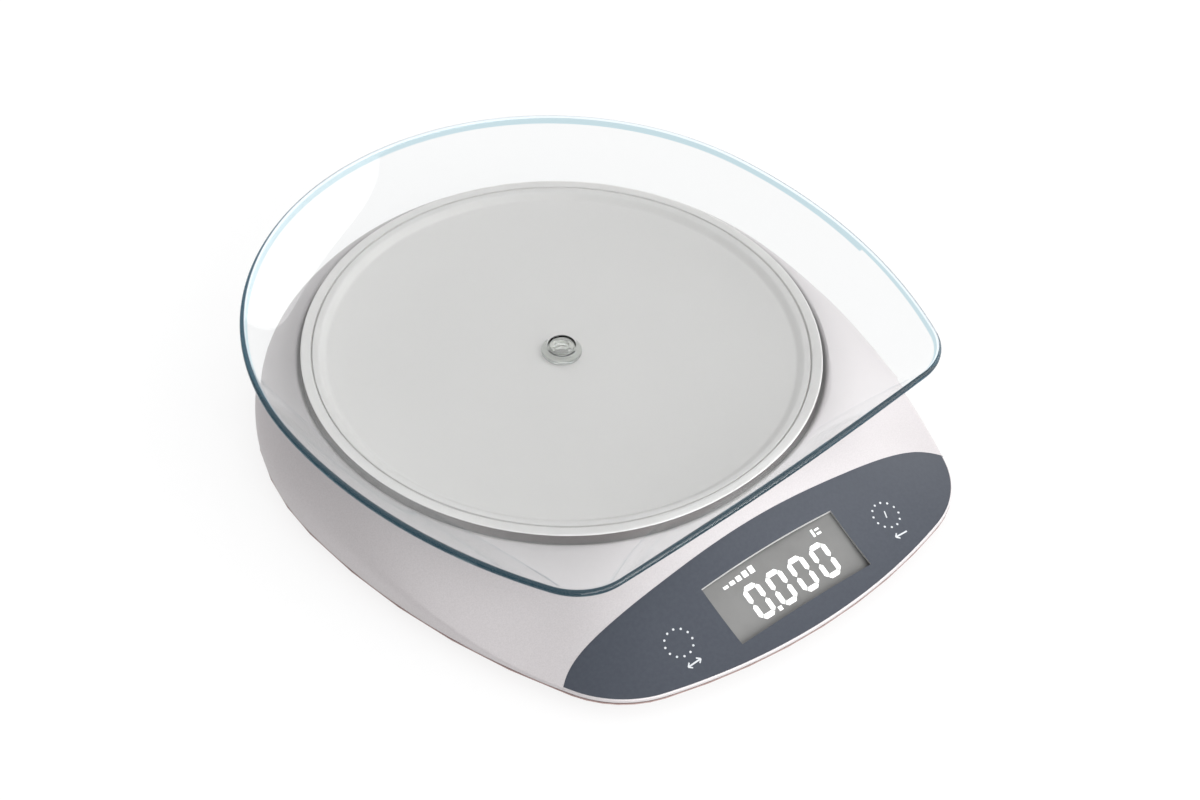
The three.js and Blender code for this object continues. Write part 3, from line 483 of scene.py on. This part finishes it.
def panel_rear_radius(angle):
    """Where each ray meets the rear boundary, by repeating r = y_rear(r cos a) / sin a, a little
    more than halfway each time. A ray that doesn't point to the front never meets it."""
    ahead = np.sin(angle) < FRONT_SINE
    sine = np.minimum(np.sin(angle), FRONT_SINE)
    radius = np.where(ahead, PANEL_REAR_Y / sine, FAR)
    limit = 1.04 * PANEL_TIP_X
    for _ in range(25):
        x = np.clip(radius * np.cos(angle), -limit, limit)
        radius = np.where(ahead, mix(radius, panel_rear_y(x) / sine, 0.6), FAR)
    return radius


# %% Shell rows
WALL = 2.0
ROOF_DEPTH = 3.0
WELL_Z = OPENING_Z - 7.3
WELL_FLOOR = 1.6
WELL_INNER = 60.0
LIP_RADIUS = 1.1
LIP_REACH = 0.3
POCKET_DEPTH = 1.3
ROUND = 0.2
SHOULDER_ROUND = 3.0


def housing_rows(angle):
    """The closed profile in each direction: well floor, lip, slope, pocket, shoulder, wall, and
    back along the inside. The shoulder's curve starts along the slope's own fall."""
    outer = outline_radius(BODY, angle)
    shoulder = shoulder_at(angle)[0]
    pocket_out = np.minimum(outline_radius(BODY, angle, PANEL_LIP), shoulder)
    pocket_in = np.minimum(panel_rear_radius(angle), pocket_out)
    depth = np.where(pocket_out - pocket_in > 0.02, POCKET_DEPTH, 0.0)
    wall_r, lip_r = OPENING_RADIUS - LIP_RADIUS, OPENING_RADIUS + LIP_REACH
    lip_in = polar(angle, wall_r, OPENING_Z - LIP_RADIUS)
    lip_top = polar(angle, wall_r + ROUND, OPENING_Z)
    lip_out = polar(angle, lip_r, skin_z(angle, lip_r))
    across = np.linspace(0, 1, 26)[1:, None]
    slope_r = mix(lip_r, pocket_in, across)
    end_z = skin_z(angle, pocket_out)
    fall = (skin_z(angle, pocket_out - 0.5) - end_z) / 0.5
    knee_z = end_z - fall * (outer - pocket_out)
    wall_top = np.maximum(FOOT_Z + ROUND + 0.05, knee_z - SHOULDER_ROUND)
    low_roof = np.maximum(skin_z(angle, shoulder) - ROOF_DEPTH, FOOT_Z + ROUND)
    under_lip = np.minimum(OPENING_Z - ROOF_DEPTH, low_roof + 6)
    return np.concatenate([
        polar(angle, WELL_INNER, WELL_Z)[None], polar(angle, wall_r - 1, WELL_Z)[None],
        polar(angle, wall_r, WELL_Z + 1)[None],
        arc_rows(lip_in, lip_top, lip_out, 5),
        polar(angle, slope_r, skin_z(angle, slope_r)),
        polar(angle, pocket_in, skin_z(angle, pocket_in) - depth)[None],
        polar(angle, pocket_out, end_z - depth)[None],
        polar(angle, pocket_out, end_z)[None],
        arc_rows(polar(angle, pocket_out, end_z), polar(angle, outer, knee_z),
                 polar(angle, outer, wall_top), 8)[1:],
        polar(angle, outer, FOOT_Z + ROUND)[None],
        polar(angle, outer - ROUND, FOOT_Z)[None],
        polar(angle, outer - WALL, FOOT_Z)[None],
        polar(angle, outer - WALL - 1, low_roof)[None],
        polar(angle, OPENING_RADIUS + WALL, under_lip)[None],
        polar(angle, OPENING_RADIUS + WALL, WELL_Z - WELL_FLOOR)[None],
        polar(angle, WELL_INNER, WELL_Z - WELL_FLOOR)[None],
    ])


FINE_RAYS = 720
shell = housing_rows(rays(FINE_RAYS))
top_shell = make_piece(
    "top_shell", shell, grid_faces(*shell.shape[:2], wrap_rows=True), "housing", silver,
    ["top_housing"])

# %% [markdown]
# The display needs a rectangular opening through the shell, tilted like the slope. A round grid
# has no rows that run along it, so here a boolean cuts the opening from the finished shell.

# %% Display opening
WINDOW = (51.2, 20.4)
FRAME_REACH = 3.0
CUT_LOW, CUT_HIGH = -14, 8
upper_z = skin_at(0.0, DISPLAY_Y + WINDOW[1] / 2)
lower_z = skin_at(0.0, DISPLAY_Y - WINDOW[1] / 2)
display_slope = math.atan2(upper_z - lower_z, WINDOW[1])
display_origin = np.array([0.0, DISPLAY_Y, skin_at(0.0, DISPLAY_Y)])
tilt_y = np.array([0.0, math.cos(display_slope), math.sin(display_slope)])
tilt_z = np.array([0.0, -math.sin(display_slope), math.cos(display_slope)])
print("display slope", round(math.degrees(display_slope), 1), "degrees")


def cut_block(piece, half_u, half_v, low, high):
    """Takes a block in the display's own directions out of a piece, and keeps the result as mesh."""
    grid = np.meshgrid([-half_u, half_u], [-half_v, half_v], [low, high], indexing="ij")
    tilted = np.array([[1.0, 0, 0], tilt_y, tilt_z])
    corners = display_origin + np.stack(grid, -1).reshape(-1, 3) @ tilted
    block = bpy.data.meshes.new("block")
    block.from_pydata((corners + AXIS) * MM, [], [
        (0, 1, 3, 2), (4, 6, 7, 5), (0, 4, 5, 1), (2, 3, 7, 6), (0, 2, 6, 4), (1, 5, 7, 3)])
    cutter = bpy.data.objects.new("block", block)
    bpy.context.scene.collection.objects.link(cutter)
    cut = piece.modifiers.new("cut", "BOOLEAN")
    cut.object, cut.operation, cut.solver = cutter, "DIFFERENCE", "EXACT"
    graph = bpy.context.evaluated_depsgraph_get()
    result = bpy.data.meshes.new_from_object(piece.evaluated_get(graph))
    piece.modifiers.clear()
    piece.data = result
    bpy.data.objects.remove(cutter)
    bpy.data.meshes.remove(block)
    result.set_sharp_from_angle(angle=math.radians(35))
    print(piece.name, "after the cut:", len(result.polygons), "faces")


cut_block(top_shell, WINDOW[0] / 2 + FRAME_REACH, WINDOW[1] / 2 + FRAME_REACH, CUT_LOW, CUT_HIGH)

# %% [markdown]
# ## Front panel
# A thin leaf-shaped sheet lies flush in the pocket, with a rectangular window cut in it for the
# display. It is a grid whose rows run from the rear edge to the front edge. Near the middle the
# rows are bent to run straight along the window, so the window is simply cells left out.

# %% Slab helper
def slab_faces(rows, columns, used):
    """Faces of a closed slab made of two grids, top first: cells where used is true, and a wall
    along every edge that belongs to one used cell only."""
    top = grid_faces(rows, columns, wrap_columns=False)[used.ravel()]
    bottom = top[:, ::-1] + rows * columns
    edges = np.concatenate([top[:, [k, (k + 1) % 4]] for k in range(4)])
    key = np.sort(edges, 1) @ np.array([rows * columns, 1])
    _, where, count = np.unique(key, return_inverse=True, return_counts=True)
    rim = edges[count[where] == 1]
    below = rim + rows * columns
    walls = np.stack([rim[:, 1], rim[:, 0], below[:, 0], below[:, 1]], -1)
    return np.concatenate([top, bottom, walls])


# %% Panel sheet
PANEL_GAP = 0.06
PANEL_SHEET = 0.7
PRINT_Z = 0.02
WINDOW_FROM, WINDOW_TO = 0.24, 0.78
BEND_FROM, BEND_TO = 52, 26
window_half_y = WINDOW[1] / 2 * math.cos(display_slope)


def body_front_y(x, inset):
    """The front outline over x: the largest reach of the polar outline, found by interpolation."""
    angle = np.linspace(math.radians(215), math.radians(325), 4001)
    reach = outline_radius(BODY, angle, inset)
    return np.interp(x, reach * np.cos(angle), reach * np.sin(angle))


def panel_grid():
    """Columns lie closer towards the tips, as a sine. Rows go from the rear edge to the front edge
    by shares v of the way; near the middle, the shares WINDOW_FROM and WINDOW_TO fall on the
    window's long sides. used is false for the cells that lie in the window."""
    tip = PANEL_TIP_X - 0.5
    side = tip * np.sin(np.linspace(0, math.pi / 2, 90))
    half = WINDOW[0] / 2
    x = np.unique(np.round(np.concatenate([
        -side, side, np.linspace(-half, half, 41), [-half - 0.4, half + 0.4]]), 6))
    off_side = np.abs(np.abs(x) - half)
    x = x[(off_side < 1e-6) | (off_side > 0.3)]
    rear_y = panel_rear_y(x) - PANEL_GAP
    front_y = np.minimum(body_front_y(x, PANEL_LIP + PANEL_GAP), rear_y - 0.02)
    v = np.concatenate([
        np.linspace(0, WINDOW_FROM, 9), np.linspace(WINDOW_FROM, WINDOW_TO, 25)[1:],
        np.linspace(WINDOW_TO, 1, 9)[1:]])[:, None]
    top_y, bottom_y = DISPLAY_Y + window_half_y, DISPLAY_Y - window_half_y
    behind = mix(rear_y, top_y, v / WINDOW_FROM)
    beside = mix(top_y, bottom_y, (v - WINDOW_FROM) / (WINDOW_TO - WINDOW_FROM))
    before = mix(bottom_y, front_y, (v - WINDOW_TO) / (1 - WINDOW_TO))
    straight = np.where(v < WINDOW_FROM, behind, np.where(v < WINDOW_TO, beside, before))
    y = mix(mix(rear_y, front_y, v), straight, smoothstep(BEND_FROM, BEND_TO, np.abs(x)))
    x = np.broadcast_to(x, y.shape)
    cell_x, cell_v = (x[1:, 1:] + x[1:, :-1]) / 2, (v[1:] + v[:-1]) / 2
    used = ~((np.abs(cell_x) < half) & (cell_v > WINDOW_FROM) & (cell_v < WINDOW_TO))
    return x, y, used


panel_x, panel_y, panel_used = panel_grid()
panel_z = skin_at(panel_x, panel_y)
sheet = np.stack([
    np.stack([panel_x, panel_y, panel_z + PRINT_Z], -1),
    np.stack([panel_x, panel_y, panel_z - PANEL_SHEET], -1)])
# the sheet's cut edges and underside take the light grey finish that is partly a painted highlight
panel = make_piece(
    "panel_sheet", sheet, slab_faces(*panel_x.shape, panel_used), "housing", slate,
    ["front_panel"],
    second=(sheet_edge_and_highlight, lambda middle: middle[:, 2] < skin_at(middle[:, 0], middle[:, 1]) - 0.2))
bevel = panel.modifiers.new("rounded edges", "BEVEL")
bevel.width, bevel.segments = 0.12 * MM, 2
bevel.limit_method, bevel.angle_limit = "ANGLE", math.radians(50)

# %% [markdown]
# ## Display
# The display is a flat liquid-crystal cell lying under the window, tilted like the panel. The panel
# bows down towards its ends, so the cell lies just deep enough to stay under it everywhere. The
# reading is four seven-segment noughts with a point; each lit segment is a very thin six-sided
# plate on the cell, which keeps its edge crisp at any size.

# %% Display frame of reference
CELL_SIZE = (WINDOW[0] + 1.2, WINDOW[1] + 1.2)
CELL_THICKNESS = 1.4
cell_u, cell_v = np.meshgrid(
    np.linspace(-0.5, 0.5, 3) * CELL_SIZE[0], np.linspace(0.5, -0.5, 3) * CELL_SIZE[1])
face_z = skin_at(cell_u, DISPLAY_Y + cell_v * tilt_y[1])
panel_bow = np.max(display_origin[2] + cell_v * tilt_y[2] - face_z)
cell_drop = PANEL_SHEET + 0.1 + panel_bow
cell_centre = display_origin - (cell_drop + CELL_THICKNESS / 2) * tilt_z
print("the cell lies", round(float(cell_drop), 2), "mm under the middle of the panel face")


def on_display(u, v, lift=0.0):
    """A point u to the right and v up the tilted cell, in millimetres, lifted off its face."""
    u, v, lift = np.broadcast_arrays(u, v, lift)
    return (cell_centre + u[..., None] * np.array([1.0, 0, 0]) + v[..., None] * tilt_y
            + (CELL_THICKNESS / 2 + lift)[..., None] * tilt_z)


def plates(outlines, place, lift=0.05):
    """Thin closed plates: each outline (k points in plan) gives a top, a bottom and its walls."""
    points, faces, start = [], [], 0
    for shape in outlines:
        shape = np.asarray(shape, float)
        k = len(shape)
        points += [place(shape[:, 0], shape[:, 1], lift), place(shape[:, 0], shape[:, 1], 0.0)]
        loop = np.arange(k)
        ahead = (loop + 1) % k
        faces.append(list(start + loop))
        faces.append(list(start + k + loop[::-1]))
        walls = np.stack([loop, ahead, ahead + k, loop + k], -1)[:, ::-1] + start
        faces += [list(wall) for wall in walls]
        start += 2 * k
    return np.concatenate(points), faces


cell = np.stack([on_display(cell_u, cell_v), on_display(cell_u, cell_v, -CELL_THICKNESS)])
make_piece("display_cell", cell, slab_faces(3, 3, np.ones((2, 2), bool)), "housing", display_grey,
           ["display_glass"])

# %% Lit segments
DIGIT_HEIGHT, DIGIT_WIDTH, DIGIT_PITCH = 11.6, 6.4, 8.7
STROKE = 1.65
FIRST_DIGIT_U = -11.6
DIGIT_V = -1.9
SEGMENT_GAP = 0.18
POINT = 1.4


def segment(length, across):
    """A six-sided bar of that length lying along u."""
    half, tip = length / 2, across / 2
    return np.array([[-half, 0], [-half + tip, -tip], [half - tip, -tip],
                     [half, 0], [half - tip, tip], [-half + tip, tip]])


def nought(centre_u, centre_v):
    """The six outer segments of a seven-segment nought."""
    flat = segment(DIGIT_WIDTH - STROKE - 2 * SEGMENT_GAP, STROKE)
    upright = segment(DIGIT_HEIGHT / 2 - STROKE / 2 - 2 * SEGMENT_GAP, STROKE)[:, ::-1]
    rise = (DIGIT_HEIGHT - STROKE) / 2
    reach = (DIGIT_WIDTH - STROKE) / 2
    bars = [flat + [0, rise], flat - [0, rise]]
    bars += [upright + [side * reach, end * rise / 2] for side in (-1, 1) for end in (-1, 1)]
    return [bar + [centre_u, centre_v] for bar in bars]


def rectangle(low_u, low_v, high_u, high_v):
    """Four corners, counter-clockwise."""
    return [[low_u, low_v], [high_u, low_v], [high_u, high_v], [low_u, high_v]]


reading = []
for digit in range(4):
    reading += nought(FIRST_DIGIT_U + digit * DIGIT_PITCH, DIGIT_V)
point_u, point_v = FIRST_DIGIT_U + DIGIT_PITCH / 2, DIGIT_V - DIGIT_HEIGHT / 2
reading.append(rectangle(point_u - POINT / 2, point_v, point_u + POINT / 2, point_v + POINT))
growing_bars = [rectangle(-19 + 2.6 * k, 6.1, -17.2 + 2.6 * k, 7.0 + 0.35 * k) for k in range(5)]
plain_mark = [rectangle(16.2, 5.6, 17.0, 8.0), rectangle(17.6, 5.6, 19.2, 6.3),
              rectangle(17.6, 7.0, 19.2, 7.6)]
points, faces = plates(reading + growing_bars + plain_mark, on_display)
make_piece("display_segments", points, faces, "housing", segment_white, sharp=20)

# %% [markdown]
# ## Touch keys
# The keys are printed marks: a ring of dots round each spot, with a small sign below it. The print
# lies on the panel, so each mark follows the panel's own surface.

# %% Printed marks
KEY_X = 41.2
KEY_Y = DISPLAY_Y + 1
KEY_RING = 4.4
KEY_FLATTEN = 0.91
DOTS, DOT_RADIUS = 12, 0.36
SIGN_DROP = 6.0


def on_panel(x, y, lift=0.0):
    """A point of the plan brought up to the panel's face and lifted off it."""
    return np.stack([x, y, skin_at(x, y) + PRINT_Z + lift], -1)


def disc(x, y, radius, sides=14):
    """A round dot, drawn narrower in plan by the cosine of the slope it lies on."""
    angle = rays(sides)
    across, along = radius * np.cos(angle), radius * np.sin(angle) * math.cos(display_slope)
    return np.stack([x + across, y + along], -1)


def stroke(start, end, width):
    """A straight stroke between two points of the plan."""
    start, end = np.array(start, float), np.array(end, float)
    along = (end - start) / np.linalg.norm(end - start)
    side = np.array([-along[1], along[0]]) * width / 2
    return [start - side, end - side, end + side, start + side]


def key_marks(x, heads):
    """A ring of dots round a key, and a plain arrow below it with a head at each side in heads."""
    ring = rays(DOTS) + math.pi / DOTS
    dots = [disc(x + KEY_RING * math.cos(a), KEY_Y + KEY_RING * math.sin(a) * KEY_FLATTEN, DOT_RADIUS)
            for a in ring]
    low = DISPLAY_Y - SIGN_DROP
    shaft = stroke((x - 2.2, low), (x + 2.2, low), 0.45)
    barbs = [stroke((x + side * 2.4, low), (x + side * 1.3, low + end * 0.9), 0.4)
             for side in heads for end in (-1, 1)]
    return [*dots, shaft, *barbs]


marks = key_marks(-KEY_X, (-1, 1)) + key_marks(KEY_X, (-1,))
marks.append(stroke((KEY_X + 0.4, DISPLAY_Y + 2.2), (KEY_X - 0.4, DISPLAY_Y + 0.2), 0.4))
points, faces = plates(marks, on_panel, 0.03)
make_piece("key_marks", points, faces, "housing", print_white, sharp=20)

# %% [markdown]
# ## Platform
# A turned moulding: the flat disc, a soft chamfer up to the rim that carries the glass, a fine
# groove in the rim, and a skirt that hangs into the well. A lathe profile with small rounds at its
# edges shows the thin lines of light and shade that a real rim has.

# %% Turned pieces
HOLD = 0.06


def rounded(profile, sizes, count=5):
    """A closed profile with each corner replaced by a short curve of the given size. A point just
    before and just after each curve keeps the flats beside it flat when they are shaded smoothly."""
    profile = np.array(profile, float)
    rows = []
    for k, size in enumerate(sizes):
        corner, before, after = profile[k], profile[k - 1], profile[(k + 1) % len(profile)]
        back = (before - corner) / np.linalg.norm(before - corner)
        ahead = (after - corner) / np.linalg.norm(after - corner)
        t = np.linspace(0, 1, count)[:, None]
        start, end = corner + back * size, corner + ahead * size
        curve = (1 - t) ** 2 * start + 2 * t * (1 - t) * corner + t**2 * end
        rows += [start + back * HOLD, *curve, end + ahead * HOLD] if size else [corner]
    return np.array(rows)


def turned(profile, sides=256):
    """Each profile point (radius, z) is carried once round the disc axis."""
    return polar(rays(sides)[None, :], profile[:, 0][:, None], profile[:, 1][:, None])


RIM_Z = platform_high[2]
SKIRT_Z = platform_low[2]
DISC_Z = RIM_Z - 1.7
PLATE = 2.0
PEG_HOLE = 3.2
DISC_EDGE, RIM_INNER = 72.0, 74.0
GROOVE = (76.0, 76.35, 76.7)
GROOVE_DEPTH = 1.6
skirt_inner = RIM_RADIUS - 1.6
platform_profile = rounded(
    [(PEG_HOLE, DISC_Z), (DISC_EDGE, DISC_Z), (RIM_INNER, RIM_Z), (GROOVE[0], RIM_Z),
     (GROOVE[1], RIM_Z - GROOVE_DEPTH), (GROOVE[2], RIM_Z), (RIM_RADIUS, RIM_Z),
     (RIM_RADIUS, SKIRT_Z), (skirt_inner, SKIRT_Z), (skirt_inner, DISC_Z - PLATE),
     (PEG_HOLE, DISC_Z - PLATE)],
    [0.2, 0.5, 0.5, 0.1, 0.1, 0.1, 0.6, 0.4, 0.4, 0, 0])
disc_rows = turned(platform_profile)


def on_shaded_skirt(middle):
    """True on the outer face below the rim's round, coloured dark partly as painted shade for the
    gap.
    """
    return (np.hypot(*middle.T[:2]) > RIM_RADIUS - 0.5) & (middle[:, 2] < RIM_Z - 0.4)


make_piece("platform_disc", disc_rows, grid_faces(*disc_rows.shape[:2], wrap_rows=True), "platform",
           platform_grey, ["platform"], second=(skirt_brown_and_shade, on_shaded_skirt))

# %% [markdown]
# ## Glass tray
# A sheet of glass with a hole in the middle, flat over the platform and flared into a wide brim.
# The height is a straight rise plus a power of the way out to the edge, so the floor ends in a
# soft crease and the brim stays level all round while its reach follows the outline. The edge is
# ground round.

# %% Tray sheet
GLASS = 2.1
HALF = GLASS / 2
GLASS_FLOOR_RADIUS = 76.0
GLASS_HOLE = 4.3
GLASS_ROUND = 0.3
CREASE, RISE_POWER = 0.35, 1.6
GLASS_FLOOR_Z = RING_Z + GLASS
GLASS_RISE = GLASS_TOP_Z + 0.2 - GLASS_FLOOR_Z


def tray_rows(angle):
    """The closed profile in each direction. The middle of the sheet follows the rise, each face
    lies half a thickness to one side of it at right angles to the slope, and the edge is half a
    circle turned to the slope at the end."""
    outer = outline_radius(TRAY, angle - TRAY_TURN)
    radius = mix(GLASS_FLOOR_RADIUS, outer - HALF, np.linspace(0, 1, 34)[:, None])
    rise = (radius - GLASS_FLOOR_RADIUS) / (outer - GLASS_FLOOR_RADIUS)
    height = GLASS_FLOOR_Z + GLASS_RISE * (CREASE * rise + (1 - CREASE) * rise**RISE_POWER)
    slope = np.gradient(height, axis=0) / np.gradient(radius, axis=0)
    upright = 1 / np.sqrt(1 + slope**2)
    leaning = slope * upright
    middle_r, middle_z = radius + HALF * leaning, height - HALF * upright
    upper = polar(angle, middle_r - HALF * leaning, middle_z + HALF * upright)
    lower = polar(angle, middle_r + HALF * leaning, middle_z - HALF * upright)
    bend = np.linspace(math.pi / 2, -math.pi / 2, 11)[1:-1, None]
    edge = polar(
        angle, middle_r[-1] + HALF * (np.cos(bend) * upright[-1] - np.sin(bend) * leaning[-1]),
        middle_z[-1] + HALF * (np.cos(bend) * leaning[-1] + np.sin(bend) * upright[-1]))
    low, high = GLASS_FLOOR_Z - GLASS, GLASS_FLOOR_Z
    inner = [(9.0, low), (5.0, low), (GLASS_HOLE + GLASS_ROUND, low), (GLASS_HOLE, low + GLASS_ROUND),
             (GLASS_HOLE, high - GLASS_ROUND), (GLASS_HOLE + GLASS_ROUND, high), (5.0, high),
             (9.0, high), (40.0, high)]
    hole = [polar(angle, r, z)[None] for r, z in inner]
    return np.concatenate([*hole, upper, edge, lower[::-1], polar(angle, 40.0, low)[None]])


def on_glowing_edge(middle):
    """True on the rounded edge, which carries the painted glow: the last stretch before the outline.
    """
    angle = np.arctan2(middle[:, 1], middle[:, 0])
    return np.hypot(*middle.T[:2]) > outline_radius(TRAY, angle - TRAY_TURN) - HALF + 0.05


tray = tray_rows(rays(FINE_RAYS))
make_piece("tray_sheet", tray, grid_faces(*tray.shape[:2], wrap_rows=True), "tray", tray_glass,
           ["glass_tray"], sharp=60, second=(glass_edge_and_glow, on_glowing_edge))

# %% [markdown]
# ## Centre peg
# A clear moulding with a flange under the glass and a boss with a dimple that stands in its hole.

# %% Peg
peg_low, peg_high = box_mm("centre_peg")
FLANGE_Z = DISC_Z + TOUCH
FLANGE_RADIUS, FLANGE_TOP = 6.2, FLANGE_Z + 1.3
BOSS_RADIUS = 3.8
dimple_z = peg_high[2] - 1.4
peg_profile = rounded(
    [(0.01, peg_low[2]), (2.6, peg_low[2]), (2.9, FLANGE_Z), (FLANGE_RADIUS, FLANGE_Z),
     (FLANGE_RADIUS, FLANGE_TOP), (BOSS_RADIUS, FLANGE_TOP), (BOSS_RADIUS, peg_high[2]),
     (2.3, peg_high[2]), (1.9, dimple_z), (0.01, dimple_z)],
    [0, 0.3, 0.2, 0.2, 0.5, 0.3, 0.5, 0.4, 0.4, 0])
peg_rows = turned(peg_profile, 96)
make_piece("peg_clear", peg_rows, grid_faces(*peg_rows.shape[:2], wrap_rows=True), "peg",
           clear_silicone, ["centre_peg"])

# %% [markdown]
# ## Setting
# A plain pale table, soft light from all round that is brightest from the front right, and three
# wide soft lights, from the front right, the front and overhead. The left side stays a little
# darker. The table is flat and 12 m across, so its edge is far away in every view.

# %% Table and lights
table_mesh = bpy.data.meshes.new("table")
TABLE_HALF = 6
table_mesh.from_pydata(
    [(-TABLE_HALF, -TABLE_HALF, 0), (TABLE_HALF, -TABLE_HALF, 0),
     (TABLE_HALF, TABLE_HALF, 0), (-TABLE_HALF, TABLE_HALF, 0)], [], [(0, 1, 2, 3)])
table_top = bpy.data.objects.new("table", table_mesh)
bpy.context.scene.collection.objects.link(table_top)
table_mesh.materials.append(new_finish(
    "table white", (0.12, 0.12, 0.12), 0.9, Emission_Color=(1, 1, 1, 1), Emission_Strength=0.82))

KEY_FROM = Vector((0.85, -0.47, 0.27)).normalized()
world = bpy.data.worlds.new("studio")
bpy.context.scene.world = world
world.use_nodes = True
sky = world.node_tree
direction = sky.nodes.new("ShaderNodeTexCoord")
facing = sky.nodes.new("ShaderNodeVectorMath")
facing.operation = "DOT_PRODUCT"
facing.inputs[1].default_value = KEY_FROM
sky.links.new(direction.outputs["Generated"], facing.inputs[0])
glow = sky.nodes.new("ShaderNodeValToRGB")
shade, bright = glow.color_ramp.elements
shade.position, shade.color = 0.1, (0.34, 0.33, 0.33, 1)
bright.position, bright.color = 1.0, (1.0, 1.0, 1.0, 1)
lifted = sky.nodes.new("ShaderNodeMapRange")
lifted.inputs["From Min"].default_value = -1.0
sky.links.new(facing.outputs["Value"], lifted.inputs["Value"])
sky.links.new(lifted.outputs["Result"], glow.inputs["Fac"])
sky.links.new(glow.outputs["Color"], sky.nodes["Background"].inputs["Color"])
sky.nodes["Background"].inputs["Strength"].default_value = 0.85


def soft_sun(name, toward, energy, spread):
    """A very wide sun: the same soft light everywhere, from one side. toward points to the light."""
    lamp = bpy.data.lights.new(name, "SUN")
    lamp.angle, lamp.energy = math.radians(spread), energy
    light = bpy.data.objects.new(name, lamp)
    bpy.context.scene.collection.objects.link(light)
    light.rotation_euler = (-Vector(toward)).to_track_quat("-Z", "Y").to_euler()


soft_sun("key", KEY_FROM, 1.7, 80)
soft_sun("front fill", (0.05, -0.95, 0.22), 3.4, 70)
soft_sun("overhead", (0.4, -0.1, 0.9), 1.85, 170)
bpy.context.scene.view_settings.view_transform = "Standard"

# %% [markdown]
# ## Camera
# The camera looks down over the left front corner with a long lens. It aims at a point a little in
# front of the disc axis, on the plane of the platform's rim.

# %% Camera
AZIMUTH, ELEVATION, ROLL = math.radians(-41.96), math.radians(43.53), math.radians(2.32)
DISTANCE = 1.0531
LENS, SENSOR = 105.0, 36.0
AIM = (AXIS + np.array([-5.2, -24.2, RING_Z])) * MM
level = math.cos(ELEVATION)
backward = np.array([
    math.sin(AZIMUTH) * level, -math.cos(AZIMUTH) * level, math.sin(ELEVATION)])
rightward = np.array([math.cos(AZIMUTH), math.sin(AZIMUTH), 0.0])
upward = np.cross(backward, rightward)
rolled_right = rightward * math.cos(ROLL) + upward * math.sin(ROLL)
rolled_up = upward * math.cos(ROLL) - rightward * math.sin(ROLL)
stand = AIM + backward * DISTANCE
camera_data = bpy.data.cameras.new("camera")
camera_data.lens, camera_data.sensor_width = LENS, SENSOR
camera = bpy.data.objects.new("camera", camera_data)
bpy.context.scene.collection.objects.link(camera)
camera.matrix_world = Matrix([
    [rolled_right[k], rolled_up[k], backward[k], stand[k]] for k in range(3)] + [[0, 0, 0, 1]])
bpy.context.scene.camera = camera
print("camera at", np.round(stand, 3).tolist())
